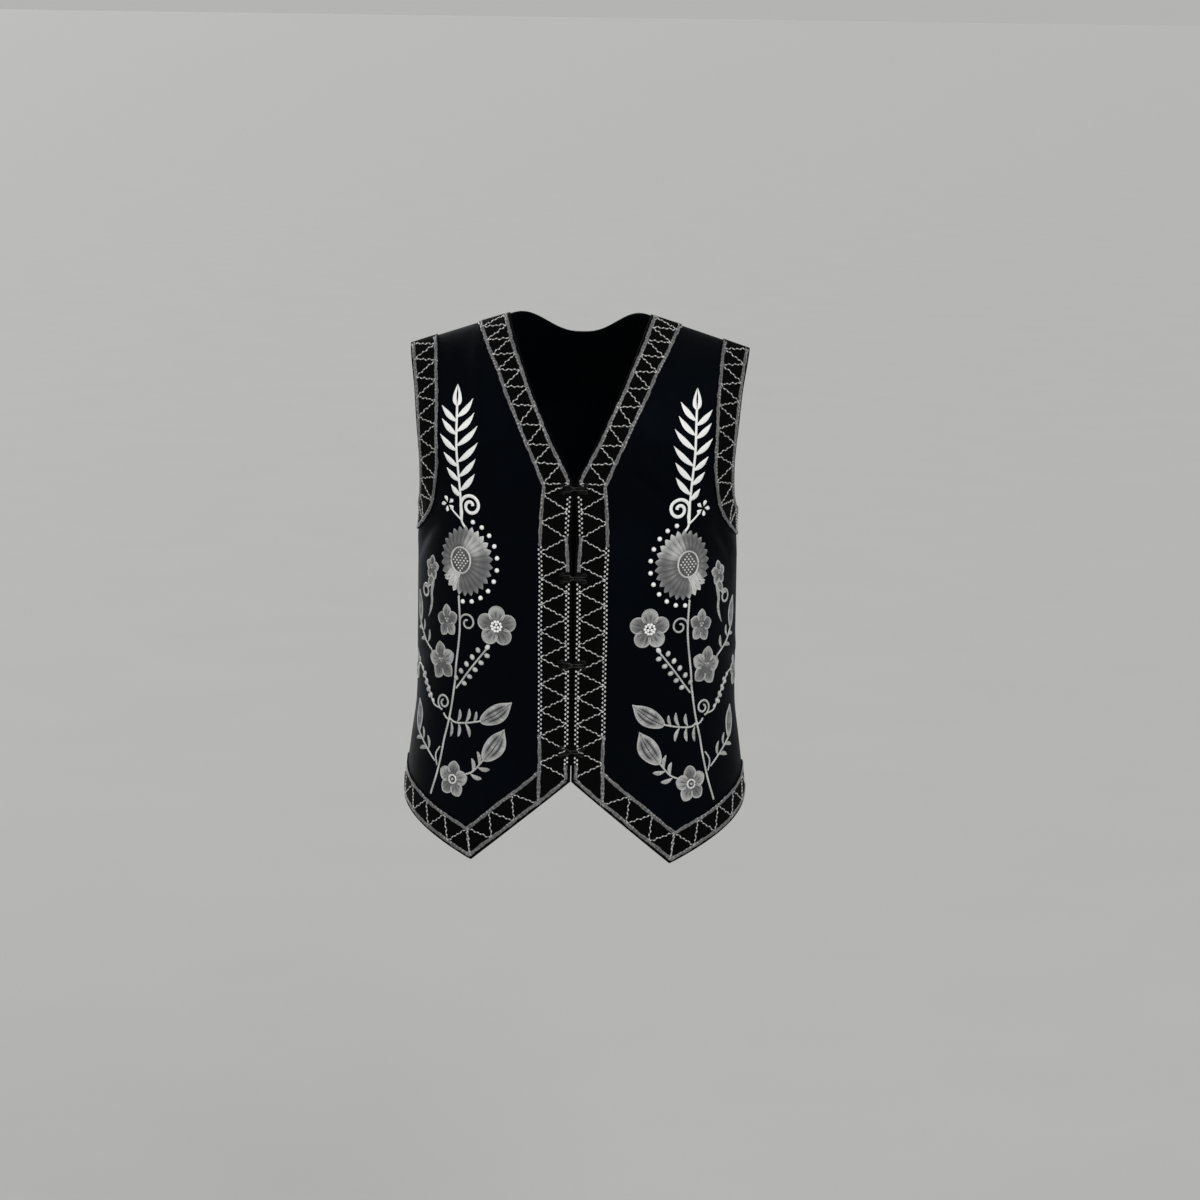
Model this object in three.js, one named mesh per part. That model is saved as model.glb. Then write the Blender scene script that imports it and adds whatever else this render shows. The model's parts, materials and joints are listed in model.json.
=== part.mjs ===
// Embroidered folk vest, in its worn form: a short waistcoat of velveteen with a V neck,
// fronts that meet edge to edge, pointed hems, and a border band along its edges.
// Millimetres, +Z up. The fronts face -Y and +X is the wearer's left.
// The origin lies midway between the two shoulder points at the neck, where the wearer holds it.
import * as THREE from "three";

const clothThickness = 2.0;
const bandThickness = 1.0;
const layerGap = 0.3;
const seamGap = 0.3;
const wireRadius = 0.5;

// The shoulder line falls from the neck point to the tip and is rounded over the neck.
const shoulder = { neckHalf: 70.5, fall: 0.343, round: 40, reach: 115, fullness: 1.6 };
const neck = { frontDepth: 155, backDepth: 22, backCurve: 2.4, backHold: 3, bow: 3 };
const armhole = { turn: 60.5, straightTo: -100, bottom: -190, halfGirth: 58 };
const hem = { centre: -453, point: -537, side: -481, pointGirth: 101, innerPointGirth: 105.8, back: -487 };
const band = { armhole: 28, hem: 27.5 };
const hooks = { first: -160, spacing: 88, count: 4 };

// Sections of the worn shape: half width, depth in front of and behind the side seams,
// and how square the section is (2 is an ellipse).
const sections = [
  { z: 20, halfWidth: 199, front: 88, back: 88, square: 2.6 },
  { z: -33, halfWidth: 188.5, front: 93, back: 97, square: 2.6 },
  { z: -70, halfWidth: 180.5, front: 98, back: 102, square: 2.6 },
  { z: -110, halfWidth: 175, front: 103, back: 104, square: 2.6 },
  { z: -150, halfWidth: 167, front: 108, back: 104, square: 2.45 },
  { z: -190, halfWidth: 159, front: 111, back: 102, square: 2.3 },
  { z: -240, halfWidth: 160, front: 113, back: 98, square: 2.2 },
  { z: -330, halfWidth: 160.3, front: 110, back: 90, square: 2.2 },
  { z: -390, halfWidth: 161, front: 108, back: 90, square: 2.2 },
  { z: -430, halfWidth: 166, front: 111, back: 95, square: 2.2 },
  { z: -475, halfWidth: 171.5, front: 116, back: 104, square: 2.2 },
  { z: -540, halfWidth: 177, front: 122, back: 112, square: 2.2 },
];

// Half of the opening between the fronts: closed at the hooks, parted below the first one.
const openings = [
  { z: -155, half: 1.0 },
  { z: -166, half: 1.2 },
  { z: -204, half: 2.8 },
  { z: -247, half: 1.2 },
  { z: -292, half: 1.5 },
  { z: -336, half: 0.9 },
  { z: -424, half: 0.8 },
  { z: -540, half: 0.8 },
];

// Width of the band along the neck and the centre front, measured along the cloth's rows.
const frontBandWidths = [
  { z: 20, width: 31 },
  { z: 0, width: 30.5 },
  { z: -45, width: 26 },
  { z: -115, width: 26 },
  { z: -158, width: 30.5 },
  { z: -230, width: 32 },
  { z: -540, width: 32 },
];

// Rows and columns of the panels' grids. The first rows, over the shoulder, lie closer.
const rows = { neck: 10, chest: 4, body: 10, hem: 2 };
const columns = { band: 2, toPoint: 4, toSide: 8 };
const chestRowHeight = 16.75;
const firstRowsCloser = 1.2;
const backGrid = { chest: 12, body: 10, neck: 4, shoulder: 5, innerTurn: 42 };
const halvings = 30;
const passes = 12;

const quarterTurn = Math.PI / 2;
const toRadians = THREE.MathUtils.degToRad;
const mix = THREE.MathUtils.lerp;

// A smooth value of one column of a table whose z runs downward.
function along(table, z, column) {
  const last = table.length - 1;
  let i = 0;
  while (i < last - 1 && z < table[i + 1].z) i += 1;
  const rise = (k) => {
    const above = table[Math.max(k - 1, 0)];
    const below = table[Math.min(k + 1, last)];
    return (below[column] - above[column]) / (below.z - above.z);
  };
  const height = table[i + 1].z - table[i].z;
  const t = THREE.MathUtils.clamp((z - table[i].z) / height, 0, 1);
  const start = table[i][column];
  const end = table[i + 1][column];
  const ease = t * t * (3 - 2 * t);
  const leave = t * (1 - t) ** 2;
  const arrive = t * t * (t - 1);
  return start + (end - start) * ease + height * (rise(i) * leave + rise(i + 1) * arrive);
}

const ridgeTop = shoulder.fall * Math.hypot(shoulder.neckHalf, shoulder.round);
const ridgeHeight = (x) => ridgeTop - shoulder.fall * Math.hypot(x, shoulder.round);

// How far the cloth has opened out below the shoulder ridge, from 0 on it to 1.
function fullness(x, z) {
  const t = THREE.MathUtils.clamp((ridgeHeight(x) - z) / shoulder.reach, 0, 1);
  return (1 - (1 - t) ** shoulder.fullness) ** (1 / shoulder.fullness);
}

const power = (value, exponent) => Math.sign(value) * Math.abs(value) ** exponent;

// A point of the worn surface. turn is the angle round from the centre line,
// and face is "front" or "back".
function wornPoint(turn, z, face) {
  const exponent = 2 / along(sections, z, "square");
  const x = along(sections, z, "halfWidth") * power(Math.sin(turn), exponent);
  const depth = along(sections, z, face) * power(Math.cos(turn), exponent) * fullness(x, z);
  const y = (depth + seamGap / 2) * (face === "front" ? -1 : 1);
  return new THREE.Vector3(x, y, z);
}

function turnAt(x, z) {
  const ratio = THREE.MathUtils.clamp(x / along(sections, z, "halfWidth"), -1, 1);
  return Math.asin(power(ratio, along(sections, z, "square") / 2));
}

// The cloth's outward direction, from two short steps along the surface.
function outward(turn, z, face) {
  const step = 1e-4;
  const drop = 0.02;
  const below = wornPoint(turn, z - drop, face);
  const top = wornPoint(turn, z + drop, face);
  const onRidge = ridgeHeight(top.x) < z + drop;
  const above = onRidge ? wornPoint(turn, z, face) : top;
  const across = wornPoint(turn + step, z, face).sub(wornPoint(turn - step, z, face));
  const normal = across.cross(above.sub(below)).normalize();
  return face === "front" ? normal : normal.negate();
}

// A cell of a panel's grid, given by its angle and its drop below the shoulder ridge.
function cellAtDrop(turn, drop) {
  let z = -drop;
  for (let pass = 0; pass < passes; pass += 1) {
    z = ridgeHeight(wornPoint(turn, z, "front").x) - drop;
  }
  return { turn, z };
}

const dropOf = (cell) => ridgeHeight(wornPoint(cell.turn, cell.z, "front").x) - cell.z;
const cellAtX = (x, z) => ({ turn: turnAt(x, z), z });

function girthTo(turn, z, face) {
  const steps = 48;
  let length = 0;
  let from = wornPoint(0, z, face);
  for (let i = 1; i <= steps; i += 1) {
    const to = wornPoint((turn * i) / steps, z, face);
    length += from.distanceTo(to);
    from = to;
  }
  return length;
}

// The front edge: a near-straight V from the shoulder, then the centre front.
function frontEdge(z) {
  if (z < -neck.frontDepth) return along(openings, z, "half");
  const t = -z / neck.frontDepth;
  const straight = mix(shoulder.neckHalf, along(openings, -neck.frontDepth, "half"), t);
  return straight + neck.bow * Math.sin(Math.PI * t);
}

// The armhole edge: down the front of the arm, then a quarter of an ellipse under it.
const shoulderTip = cellAtDrop(toRadians(armhole.turn), 0);
const armholeStraight = shoulderTip.z - armhole.straightTo;
const armholeDepth = armhole.straightTo - armhole.bottom;
const armholeScoop = quarterTurn * Math.hypot(armhole.halfGirth, armholeDepth) * Math.SQRT1_2;

function armholeEdge(share) {
  const length = share * (armholeStraight + armholeScoop);
  if (length < armholeStraight) {
    return { turn: shoulderTip.turn, z: shoulderTip.z - length, lean: 0 };
  }
  const around = ((length - armholeStraight) / armholeScoop) * quarterTurn;
  return {
    turn: quarterTurn - (quarterTurn - shoulderTip.turn) * Math.cos(around),
    z: armhole.straightTo - armholeDepth * Math.sin(around),
    lean: Math.atan2(Math.sin(around) * armhole.halfGirth, Math.cos(around) * armholeDepth),
  };
}

// The cell that lies a given width inside the armhole edge, square to it.
function insideArmhole(edge, width) {
  const start = wornPoint(edge.turn, edge.z, "front");
  const drop = dropOf(edge) + width * Math.sin(edge.lean);
  if (edge.lean > quarterTurn - 1e-6) return { turn: edge.turn, z: edge.z - width };
  let near = 0;
  let far = 1;
  for (let pass = 0; pass < halvings; pass += 1) {
    const turn = edge.turn - (near + far) / 2;
    const cell = cellAtDrop(turn, drop);
    const reached = wornPoint(cell.turn, cell.z, "front").distanceTo(start) > width;
    if (reached) far = (near + far) / 2;
    else near = (near + far) / 2;
  }
  return cellAtDrop(edge.turn - far, drop);
}

// Heights of the hem and of the band's upper edge, by girth from the centre front.
const hemSideGirth = girthTo(quarterTurn, hem.side, "front");

function hemHeight(girth) {
  if (girth < hem.pointGirth) return mix(hem.centre, hem.point, girth / hem.pointGirth);
  const share = (girth - hem.pointGirth) / (hemSideGirth - hem.pointGirth);
  return mix(hem.point, hem.side, share);
}

function hemBandTop(girth) {
  const fall = (hem.centre - hem.point) / hem.pointGirth;
  const climb = (hem.side - hem.point) / (hemSideGirth - hem.pointGirth);
  const falling = hem.centre - fall * girth + band.hem * Math.hypot(1, fall);
  const climbing = hem.point + climb * (girth - hem.pointGirth) + band.hem * Math.hypot(1, climb);
  return Math.max(falling, climbing);
}

function frontBandCells(z) {
  const edge = frontEdge(z);
  const drop = ridgeHeight(edge) - z;
  const width = along(frontBandWidths, z, "width");
  const cells = [];
  for (let i = 0; i <= columns.band; i += 1) {
    const x = edge + (width * i) / columns.band;
    cells.push(cellAtX(x, ridgeHeight(x) - drop));
  }
  return cells;
}

// Shares of the way from the front band to the side, with a column at the hem's point.
function columnShares(pointShare) {
  const shares = [];
  for (let i = 1; i <= columns.toPoint; i += 1) {
    shares.push((pointShare * i) / columns.toPoint);
  }
  for (let i = 1; i <= columns.toSide; i += 1) {
    shares.push(mix(pointShare, 1, i / columns.toSide));
  }
  return shares;
}

// The share of the turn at which the girth reaches a length, at the hem's point.
function shareAtGirth(girth) {
  const start = turnAt(frontEdge(hem.point) + along(frontBandWidths, hem.point, "width"), hem.point);
  let near = 0;
  let far = 1;
  for (let pass = 0; pass < halvings; pass += 1) {
    const middle = (near + far) / 2;
    if (girthTo(mix(start, quarterTurn, middle), hem.point, "front") > girth) far = middle;
    else near = middle;
  }
  return far;
}

// Rows of the front from the shoulder seam to the underarm, ending on the armhole edge.
function chestRows() {
  const shares = columnShares(shareAtGirth(hem.innerPointGirth));
  const total = rows.neck + rows.chest;
  const list = [];
  for (let i = 0; i <= total; i += 1) {
    const onNeck = neck.frontDepth * (Math.min(i, rows.neck) / rows.neck) ** firstRowsCloser;
    const onCentre = Math.max(i - rows.neck, 0) * chestRowHeight;
    const cells = frontBandCells(-onNeck - onCentre);
    const edge = armholeEdge((i / total) ** firstRowsCloser);
    const inner = insideArmhole(edge, band.armhole);
    const start = cells[columns.band];
    for (const share of shares) {
      const turn = mix(start.turn, inner.turn, share);
      cells.push(cellAtDrop(turn, mix(dropOf(start), dropOf(inner), share)));
    }
    cells.push(insideArmhole(edge, band.armhole / 2));
    cells.push({ turn: edge.turn, z: edge.z });
    list.push(cells);
  }
  return list;
}

// Rows from the underarm to the hem, ending on the side seam. The last ones hold the hem band.
function bodyRows(topRow) {
  const upperShares = columnShares(shareAtGirth(hem.innerPointGirth));
  const hemShares = columnShares(shareAtGirth(hem.pointGirth));
  const total = rows.body + rows.hem;
  const list = [];
  for (let i = 1; i <= total; i += 1) {
    const down = Math.min(i / rows.body, 1);
    const inHem = Math.max(i - rows.body, 0) / rows.hem;
    const cells = [];
    for (let c = 0; c < topRow.length; c += 1) {
      let z = topRow[c].z;
      let turn = 0;
      for (let pass = 0; pass < passes; pass += 1) {
        const edge = frontEdge(z);
        const width = along(frontBandWidths, z, "width");
        if (c <= columns.band) {
          turn = turnAt(edge + (width * c) / columns.band, z);
        } else {
          const k = c - columns.band - 1;
          const share = mix(upperShares[k], hemShares[k], inHem);
          turn = mix(turnAt(edge + width, z), quarterTurn, share);
        }
        const girth = girthTo(turn, z, "front");
        const bandTop = hemBandTop(girth);
        z = mix(mix(topRow[c].z, bandTop, down), hemHeight(girth), inHem);
      }
      cells.push({ turn, z });
    }
    list.push(cells);
  }
  return list;
}

// Joins rows of cells into quads. Rows may share their cells with other blocks.
function quadsOf(block) {
  const quads = [];
  for (let r = 0; r + 1 < block.length; r += 1) {
    for (let c = 0; c + 1 < block[r].length; c += 1) {
      quads.push([block[r][c], block[r][c + 1], block[r + 1][c + 1], block[r + 1][c]]);
    }
  }
  return quads;
}

// A closed wall over the quads, from one distance outside the worn surface to another.
// Quads run round as seen from outside on the +X front; mirrored pieces swap their order.
function wall(quads, face, from, to, mirrored) {
  const cells = [];
  const indexOf = new Map();
  for (const cell of quads.flat()) {
    if (!indexOf.has(cell)) {
      indexOf.set(cell, cells.length);
      cells.push(cell);
    }
  }
  const side = mirrored ? -1 : 1;
  const place = (cell, distance) => {
    const out = outward(cell.turn, cell.z, face);
    const point = wornPoint(cell.turn, cell.z, face).addScaledVector(out, distance);
    return [point.x * side, point.y, point.z];
  };
  const outer = cells.flatMap((cell) => place(cell, to));
  const inner = cells.flatMap((cell) => place(cell, from));
  const flip = mirrored !== (face === "back");
  const faces = [];
  const addFace = (a, b, c) => faces.push(...(flip ? [a, b, c] : [c, b, a]));
  const edges = new Map();
  const n = cells.length;
  for (const quad of quads) {
    const [a, b, c, d] = quad.map((cell) => indexOf.get(cell));
    addFace(a, b, c);
    addFace(a, c, d);
    addFace(c + n, b + n, a + n);
    addFace(d + n, c + n, a + n);
    for (const [p, q] of [[a, b], [b, c], [c, d], [d, a]]) {
      if (edges.has(`${q} ${p}`)) edges.delete(`${q} ${p}`);
      else edges.set(`${p} ${q}`, [p, q]);
    }
  }
  for (const [p, q] of edges.values()) {
    addFace(q, p, p + n);
    addFace(q, p + n, q + n);
  }
  const geometry = new THREE.BufferGeometry();
  geometry.setAttribute("position", new THREE.Float32BufferAttribute([...outer, ...inner], 3));
  geometry.setIndex(faces);
  geometry.computeVertexNormals();
  return geometry;
}

// How far below the shoulder ridge the back's upper edge and hem lie in each column.
function backColumns() {
  const neckTurn = turnAt(shoulder.neckHalf, 0);
  const innerTurn = toRadians(backGrid.innerTurn);
  const list = [];
  for (let c = 0; c <= backGrid.neck + backGrid.shoulder; c += 1) {
    const inNeck = Math.min(c / backGrid.neck, 1);
    const inShoulder = Math.max(c - backGrid.neck, 0) / backGrid.shoulder;
    const x = wornPoint(neckTurn * inNeck, 0, "back").x;
    const out = x / shoulder.neckHalf;
    const scoop = (1 - out ** neck.backCurve) ** neck.backHold;
    const hemTurn = mix(innerTurn * inNeck, quarterTurn, inShoulder);
    const hemZ = mix(hem.back, hem.side, hemTurn / quarterTurn);
    const topDrop = c < backGrid.neck ? (neck.backDepth + ridgeHeight(0)) * scoop : 0;
    list.push({ inNeck, inShoulder, topDrop, hemDrop: dropOf({ turn: hemTurn, z: hemZ }) });
  }
  return list;
}

// Rows of the back, from one armhole and side seam to the other. Every column goes down
// from the neck and shoulder edge to the hem in step with the armhole and side edge.
function backRows() {
  const neckTurn = turnAt(shoulder.neckHalf, 0);
  const sideDrop = dropOf({ turn: quarterTurn, z: hem.side });
  const underarmDrop = dropOf({ turn: quarterTurn, z: armhole.bottom });
  const list = [];
  for (let i = 0; i <= backGrid.chest + backGrid.body; i += 1) {
    const edge = armholeEdge(Math.min(i / backGrid.chest, 1) ** firstRowsCloser);
    edge.z = mix(edge.z, hem.side, Math.max(i - backGrid.chest, 0) / backGrid.body);
    const down = dropOf(edge) / sideDrop;
    const spread = Math.min(dropOf(edge) / underarmDrop, 1);
    const innerTurn = mix(neckTurn, toRadians(backGrid.innerTurn), spread);
    const half = backColumns().map(({ inNeck, inShoulder, topDrop, hemDrop }) => {
      const turn = mix(innerTurn * inNeck, edge.turn, inShoulder);
      return cellAtDrop(turn, mix(topDrop, hemDrop, down));
    });
    const otherHalf = half.slice(1).reverse().map(({ turn, z }) => ({ turn: -turn, z }));
    list.push([...otherHalf, ...half]);
  }
  return list;
}

const chest = chestRows();
const sideSeamColumn = columns.band + columns.toPoint + columns.toSide;
const underarm = chest[chest.length - 1].slice(0, sideSeamColumn + 1);
const body = [underarm, ...bodyRows(underarm)];
const cut = (block, from, to) => block.map((row) => row.slice(from, to + 1));

const frontQuads = [...quadsOf(chest), ...quadsOf(body)];
const frontBandQuads = [
  ...quadsOf(cut(chest, 0, columns.band)),
  ...quadsOf(cut(body, 0, columns.band)),
];
const armholeBandQuads = quadsOf(cut(chest, sideSeamColumn, sideSeamColumn + 2));
const hemBandRows = body.slice(rows.body);
const hemBandQuads = quadsOf(cut(hemBandRows, columns.band, sideSeamColumn));

const velveteen = () => new THREE.MeshStandardMaterial({ color: 0x10151a, roughness: 0.85, metalness: 0 });
const bandCloth = () => new THREE.MeshStandardMaterial({ color: 0x050506, roughness: 0.9, metalness: 0 });
const blackWire = () => new THREE.MeshStandardMaterial({ color: 0x0a0a0a, roughness: 0.35, metalness: 0.6 });

function piece(name, geometry, material) {
  const mesh = new THREE.Mesh(geometry, material);
  mesh.name = name;
  return mesh;
}

// A round wire bent along a smooth line through its points.
function wire(points, steps) {
  const section = new THREE.Shape();
  const sides = 6;
  const ring = Array.from({ length: sides }, (_, i) => {
    const angle = (i / sides) * 2 * Math.PI;
    return new THREE.Vector2(wireRadius * Math.cos(angle), wireRadius * Math.sin(angle));
  });
  section.setFromPoints(ring);
  const path = new THREE.CatmullRomCurve3(points, false, "centripetal");
  return new THREE.ExtrudeGeometry(section, { steps, extrudePath: path, bevelEnabled: false });
}

// Half of a wire fastener, mirrored across its middle: across the opening, along it, and out.
const hookHalf = [
  { across: 9.2, along: 4.0, out: 0 },
  { across: 10.4, along: 5.1, out: 0 },
  { across: 12.3, along: 4.7, out: 0 },
  { across: 12.9, along: 3.0, out: 0 },
  { across: 11.6, along: 1.6, out: 0 },
  { across: 8.5, along: 1.3, out: 0 },
  { across: 3.0, along: 1.3, out: 0 },
  { across: -2.6, along: 1.3, out: 0 },
  { across: -3.9, along: 1.3, out: 1.3 },
  { across: -2.6, along: 1.3, out: 2.6 },
  { across: -0.6, along: 1.2, out: 2.6 },
];
const hookTip = { across: 0.7, along: 0, out: 2.6 };
const eyeHalf = [
  { across: -9.2, along: 5.0, out: 0 },
  { across: -10.6, along: 5.4, out: 0 },
  { across: -11.9, along: 4.6, out: 0 },
  { across: -11.7, along: 3.3, out: 0 },
  { across: -10.0, along: 2.9, out: 0.1 },
  { across: -7.0, along: 3.0, out: 0.8 },
  { across: -4.4, along: 2.9, out: 1.3 },
  { across: -2.2, along: 2.1, out: 1.3 },
];
const eyeTip = { across: -1.3, along: 0, out: 1.3 };

// The wire lies on the front bands, and its points follow them.
function fastener(half, tip, z, steps) {
  const bandFace = clothThickness + layerGap + bandThickness;
  const mirrored = half.slice().reverse().map((point) => ({ ...point, along: -point.along }));
  const points = [...half, tip, ...mirrored].map((point) => {
    const height = z + point.along;
    const turn = turnAt(point.across, height);
    const distance = bandFace + layerGap + wireRadius + point.out;
    return wornPoint(turn, height, "front").addScaledVector(outward(turn, height, "front"), distance);
  });
  return wire(points, steps);
}

const vest = new THREE.Group();
const bandFrom = clothThickness + layerGap;
const bandTo = bandFrom + bandThickness;

vest.add(piece("back", wall(quadsOf(backRows()), "back", 0, clothThickness, false), velveteen()));
for (const [side, mirrored] of [["left", false], ["right", true]]) {
  vest.add(piece(`front_${side}`, wall(frontQuads, "front", 0, clothThickness, mirrored), velveteen()));
  const bands = [
    [`front_band_${side}`, frontBandQuads],
    [`armhole_band_${side}`, armholeBandQuads],
    [`hem_band_${side}`, hemBandQuads],
  ];
  for (const [name, quads] of bands) {
    vest.add(piece(name, wall(quads, "front", bandFrom, bandTo, mirrored), bandCloth()));
  }
}
for (let i = 0; i < hooks.count; i += 1) {
  const z = hooks.first - hooks.spacing * i;
  vest.add(piece(`hook_${i + 1}`, fastener(hookHalf, hookTip, z, 46), blackWire()));
  vest.add(piece(`eye_${i + 1}`, fastener(eyeHalf, eyeTip, z, 32), blackWire()));
}

export default vest;
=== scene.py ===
# Embroidered folk vest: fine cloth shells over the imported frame, and its embroidery as real thread.
# Lengths are in millimetres until a mesh is made. The fronts face -Y and +X is the wearer's left.
import json
import math

import bpy
import numpy as np
from mathutils import Matrix, Vector

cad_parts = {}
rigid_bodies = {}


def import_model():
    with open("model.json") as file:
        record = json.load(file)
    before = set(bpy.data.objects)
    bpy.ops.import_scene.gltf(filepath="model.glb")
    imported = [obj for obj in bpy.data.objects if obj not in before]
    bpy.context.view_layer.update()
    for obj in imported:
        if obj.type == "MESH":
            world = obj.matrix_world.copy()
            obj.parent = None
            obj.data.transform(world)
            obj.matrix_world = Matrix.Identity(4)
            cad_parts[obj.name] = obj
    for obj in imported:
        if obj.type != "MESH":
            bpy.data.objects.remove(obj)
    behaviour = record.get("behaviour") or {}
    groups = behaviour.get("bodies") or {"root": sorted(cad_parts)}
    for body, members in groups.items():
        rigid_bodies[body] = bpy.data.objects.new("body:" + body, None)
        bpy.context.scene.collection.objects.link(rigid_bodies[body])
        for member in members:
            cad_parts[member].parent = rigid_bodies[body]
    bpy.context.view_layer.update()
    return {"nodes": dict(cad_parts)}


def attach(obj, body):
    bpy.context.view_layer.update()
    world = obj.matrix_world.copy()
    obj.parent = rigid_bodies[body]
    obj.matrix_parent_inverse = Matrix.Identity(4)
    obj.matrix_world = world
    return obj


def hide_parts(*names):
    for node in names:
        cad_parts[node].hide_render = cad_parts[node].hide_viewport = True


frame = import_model()
metre = 0.001
rng = np.random.default_rng(11)

# The worn form, the same as the frame's
worn = {
    "clothThickness": 2.0,
    "bandThickness": 1.0,
    "seamGap": 0.3,
    "neckHalf": 70.5,
    "shoulderFall": 0.343,
    "shoulderRound": 40,
    "shoulderReach": 115,
    "shoulderFullness": 1.6,
    "neckDepth": 155,
    "neckBow": 3,
    "backNeckDepth": 22,
    "backNeckCurve": 2.4,
    "backNeckHold": 3,
    "armholeTurn": math.radians(60.5),
    "armholeStraightTo": -100,
    "armholeBottom": -190,
    "armholeHalfGirth": 58,
    "armholeBand": 28,
    "hemCentre": -453,
    "hemPoint": -537,
    "hemSide": -481,
    "hemPointGirth": 101,
    "hemInnerPointGirth": 105.8,
    "hemBack": -487,
    "hemBand": 27.5,
}

# z, half width, depth in front and behind, and how square the section is
sectionColumns = ("z", "halfWidth", "front", "back", "square")
sections = dict(zip(sectionColumns, np.array([
    (20, 199, 88, 88, 2.6),
    (-33, 188.5, 93, 97, 2.6),
    (-70, 180.5, 98, 102, 2.6),
    (-110, 175, 103, 104, 2.6),
    (-150, 167, 108, 104, 2.45),
    (-190, 159, 111, 102, 2.3),
    (-240, 160, 113, 98, 2.2),
    (-330, 160.3, 110, 90, 2.2),
    (-390, 161, 108, 90, 2.2),
    (-430, 166, 111, 95, 2.2),
    (-475, 171.5, 116, 104, 2.2),
    (-540, 177, 122, 112, 2.2),
], float).T))
# half of the opening between the fronts
openings = dict(zip(("z", "half"), np.array([
    (-155, 1.0), (-166, 1.2), (-204, 2.8), (-247, 1.2), (-292, 1.5), (-336, 0.9), (-424, 0.8), (-540, 0.8),
], float).T))
# width of the band along the neck and the centre front
frontBandWidths = dict(zip(("z", "width"), np.array([
    (20, 31), (0, 30.5), (-45, 26), (-115, 26), (-158, 30.5), (-230, 32), (-540, 32),
], float).T))

quarterTurn = math.pi / 2


def mix(a, b, share):
    return a + (b - a) * share


def smoothStep(low, high, value):
    t = np.clip((value - low) / (high - low), 0, 1)
    return t * t * (3 - 2 * t)


def along(table, z, column):
    # smooth value of one column of a table whose z runs downward
    heights, values = table["z"], table[column]
    slopes = np.empty_like(values)
    slopes[1:-1] = (values[2:] - values[:-2]) / (heights[2:] - heights[:-2])
    slopes[0] = (values[1] - values[0]) / (heights[1] - heights[0])
    slopes[-1] = (values[-1] - values[-2]) / (heights[-1] - heights[-2])
    z = np.asarray(z, float)
    i = np.clip(np.searchsorted(-heights, -z) - 1, 0, len(heights) - 2)
    step = heights[i + 1] - heights[i]
    t = np.clip((z - heights[i]) / step, 0, 1)
    ease = t * t * (3 - 2 * t)
    leave, arrive = t * (1 - t) ** 2, t * t * (t - 1)
    return mix(values[i], values[i + 1], ease) + step * (slopes[i] * leave + slopes[i + 1] * arrive)


ridgeTop = worn["shoulderFall"] * math.hypot(worn["neckHalf"], worn["shoulderRound"])


def ridgeHeight(x):
    return ridgeTop - worn["shoulderFall"] * np.hypot(x, worn["shoulderRound"])


def signedPower(value, exponent):
    return np.sign(value) * np.abs(value) ** exponent


def wornPoint(turn, z, face):
    # a point of the worn surface, turn being the angle round from the centre line
    exponent = 2 / along(sections, z, "square")
    x = along(sections, z, "halfWidth") * signedPower(np.sin(turn), exponent)
    openShare = np.clip((ridgeHeight(x) - z) / worn["shoulderReach"], 0, 1)
    full = (1 - (1 - openShare) ** worn["shoulderFullness"]) ** (1 / worn["shoulderFullness"])
    depth = along(sections, z, face) * signedPower(np.cos(turn), exponent) * full
    y = (depth + worn["seamGap"] / 2) * (-1 if face == "front" else 1)
    return np.stack([x, y, np.broadcast_to(z, x.shape)], -1)


def turnAt(x, z):
    ratio = np.clip(x / along(sections, z, "halfWidth"), -1, 1)
    return np.arcsin(signedPower(ratio, along(sections, z, "square") / 2))


def unit(vectors):
    return vectors / np.maximum(np.linalg.norm(vectors, axis=-1, keepdims=True), 1e-9)


def outward(turn, z, face):
    step, drop = 1e-4, 0.02
    top = wornPoint(turn, z + drop, face)
    onRidge = ridgeHeight(top[..., 0]) < z + drop
    above = np.where(onRidge[..., None], wornPoint(turn, z, face), top)
    across = wornPoint(turn + step, z, face) - wornPoint(turn - step, z, face)
    normal = unit(np.cross(across, above - wornPoint(turn, z - drop, face)))
    return normal if face == "front" else -normal


def cellAtDrop(turn, drop):
    # the height that lies a given drop below the shoulder ridge
    z = -np.asarray(drop, float) + 0 * turn
    for _ in range(12):
        z = ridgeHeight(wornPoint(turn, z, "front")[..., 0]) - drop
    return z


def dropOf(turn, z):
    return ridgeHeight(wornPoint(turn, z, "front")[..., 0]) - z


# girth from the centre line, tabled over turn and height, and read both ways
girthTurns = np.linspace(0, quarterTurn, 181)
girthHeights = np.arange(-560, 31, 1.0)
girthValues = np.arange(0, 281, 2.0)


def girthTable(face):
    turns, heights = np.meshgrid(girthTurns, girthHeights)
    points = wornPoint(turns, heights, face)
    steps = np.linalg.norm(np.diff(points, axis=1), axis=-1)
    return np.concatenate([np.zeros((len(girthHeights), 1)), np.cumsum(steps, 1)], 1)


girthTables = {face: girthTable(face) for face in ("front", "back")}
turnTable = np.array([np.interp(girthValues, row, girthTurns) for row in girthTables["front"]])


def readTable(table, rows, columns, row, column):
    r = np.clip((row - rows[0]) / (rows[1] - rows[0]), 0, len(rows) - 1.001)
    c = np.clip((column - columns[0]) / (columns[1] - columns[0]), 0, len(columns) - 1.001)
    i, j = r.astype(int), c.astype(int)
    a, b = r - i, c - j
    upper = mix(table[i, j], table[i, j + 1], b)
    return mix(upper, mix(table[i + 1, j], table[i + 1, j + 1], b), a)


def girthAt(turn, z, face="front"):
    turn, z = np.broadcast_arrays(np.asarray(turn, float), np.asarray(z, float))
    return readTable(girthTables[face], girthHeights, girthTurns, z, np.abs(turn)) * np.sign(turn)


def turnAtGirth(girth, z):
    girth, z = np.broadcast_arrays(np.asarray(girth, float), np.asarray(z, float))
    return readTable(turnTable, girthHeights, girthValues, z, girth)


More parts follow.
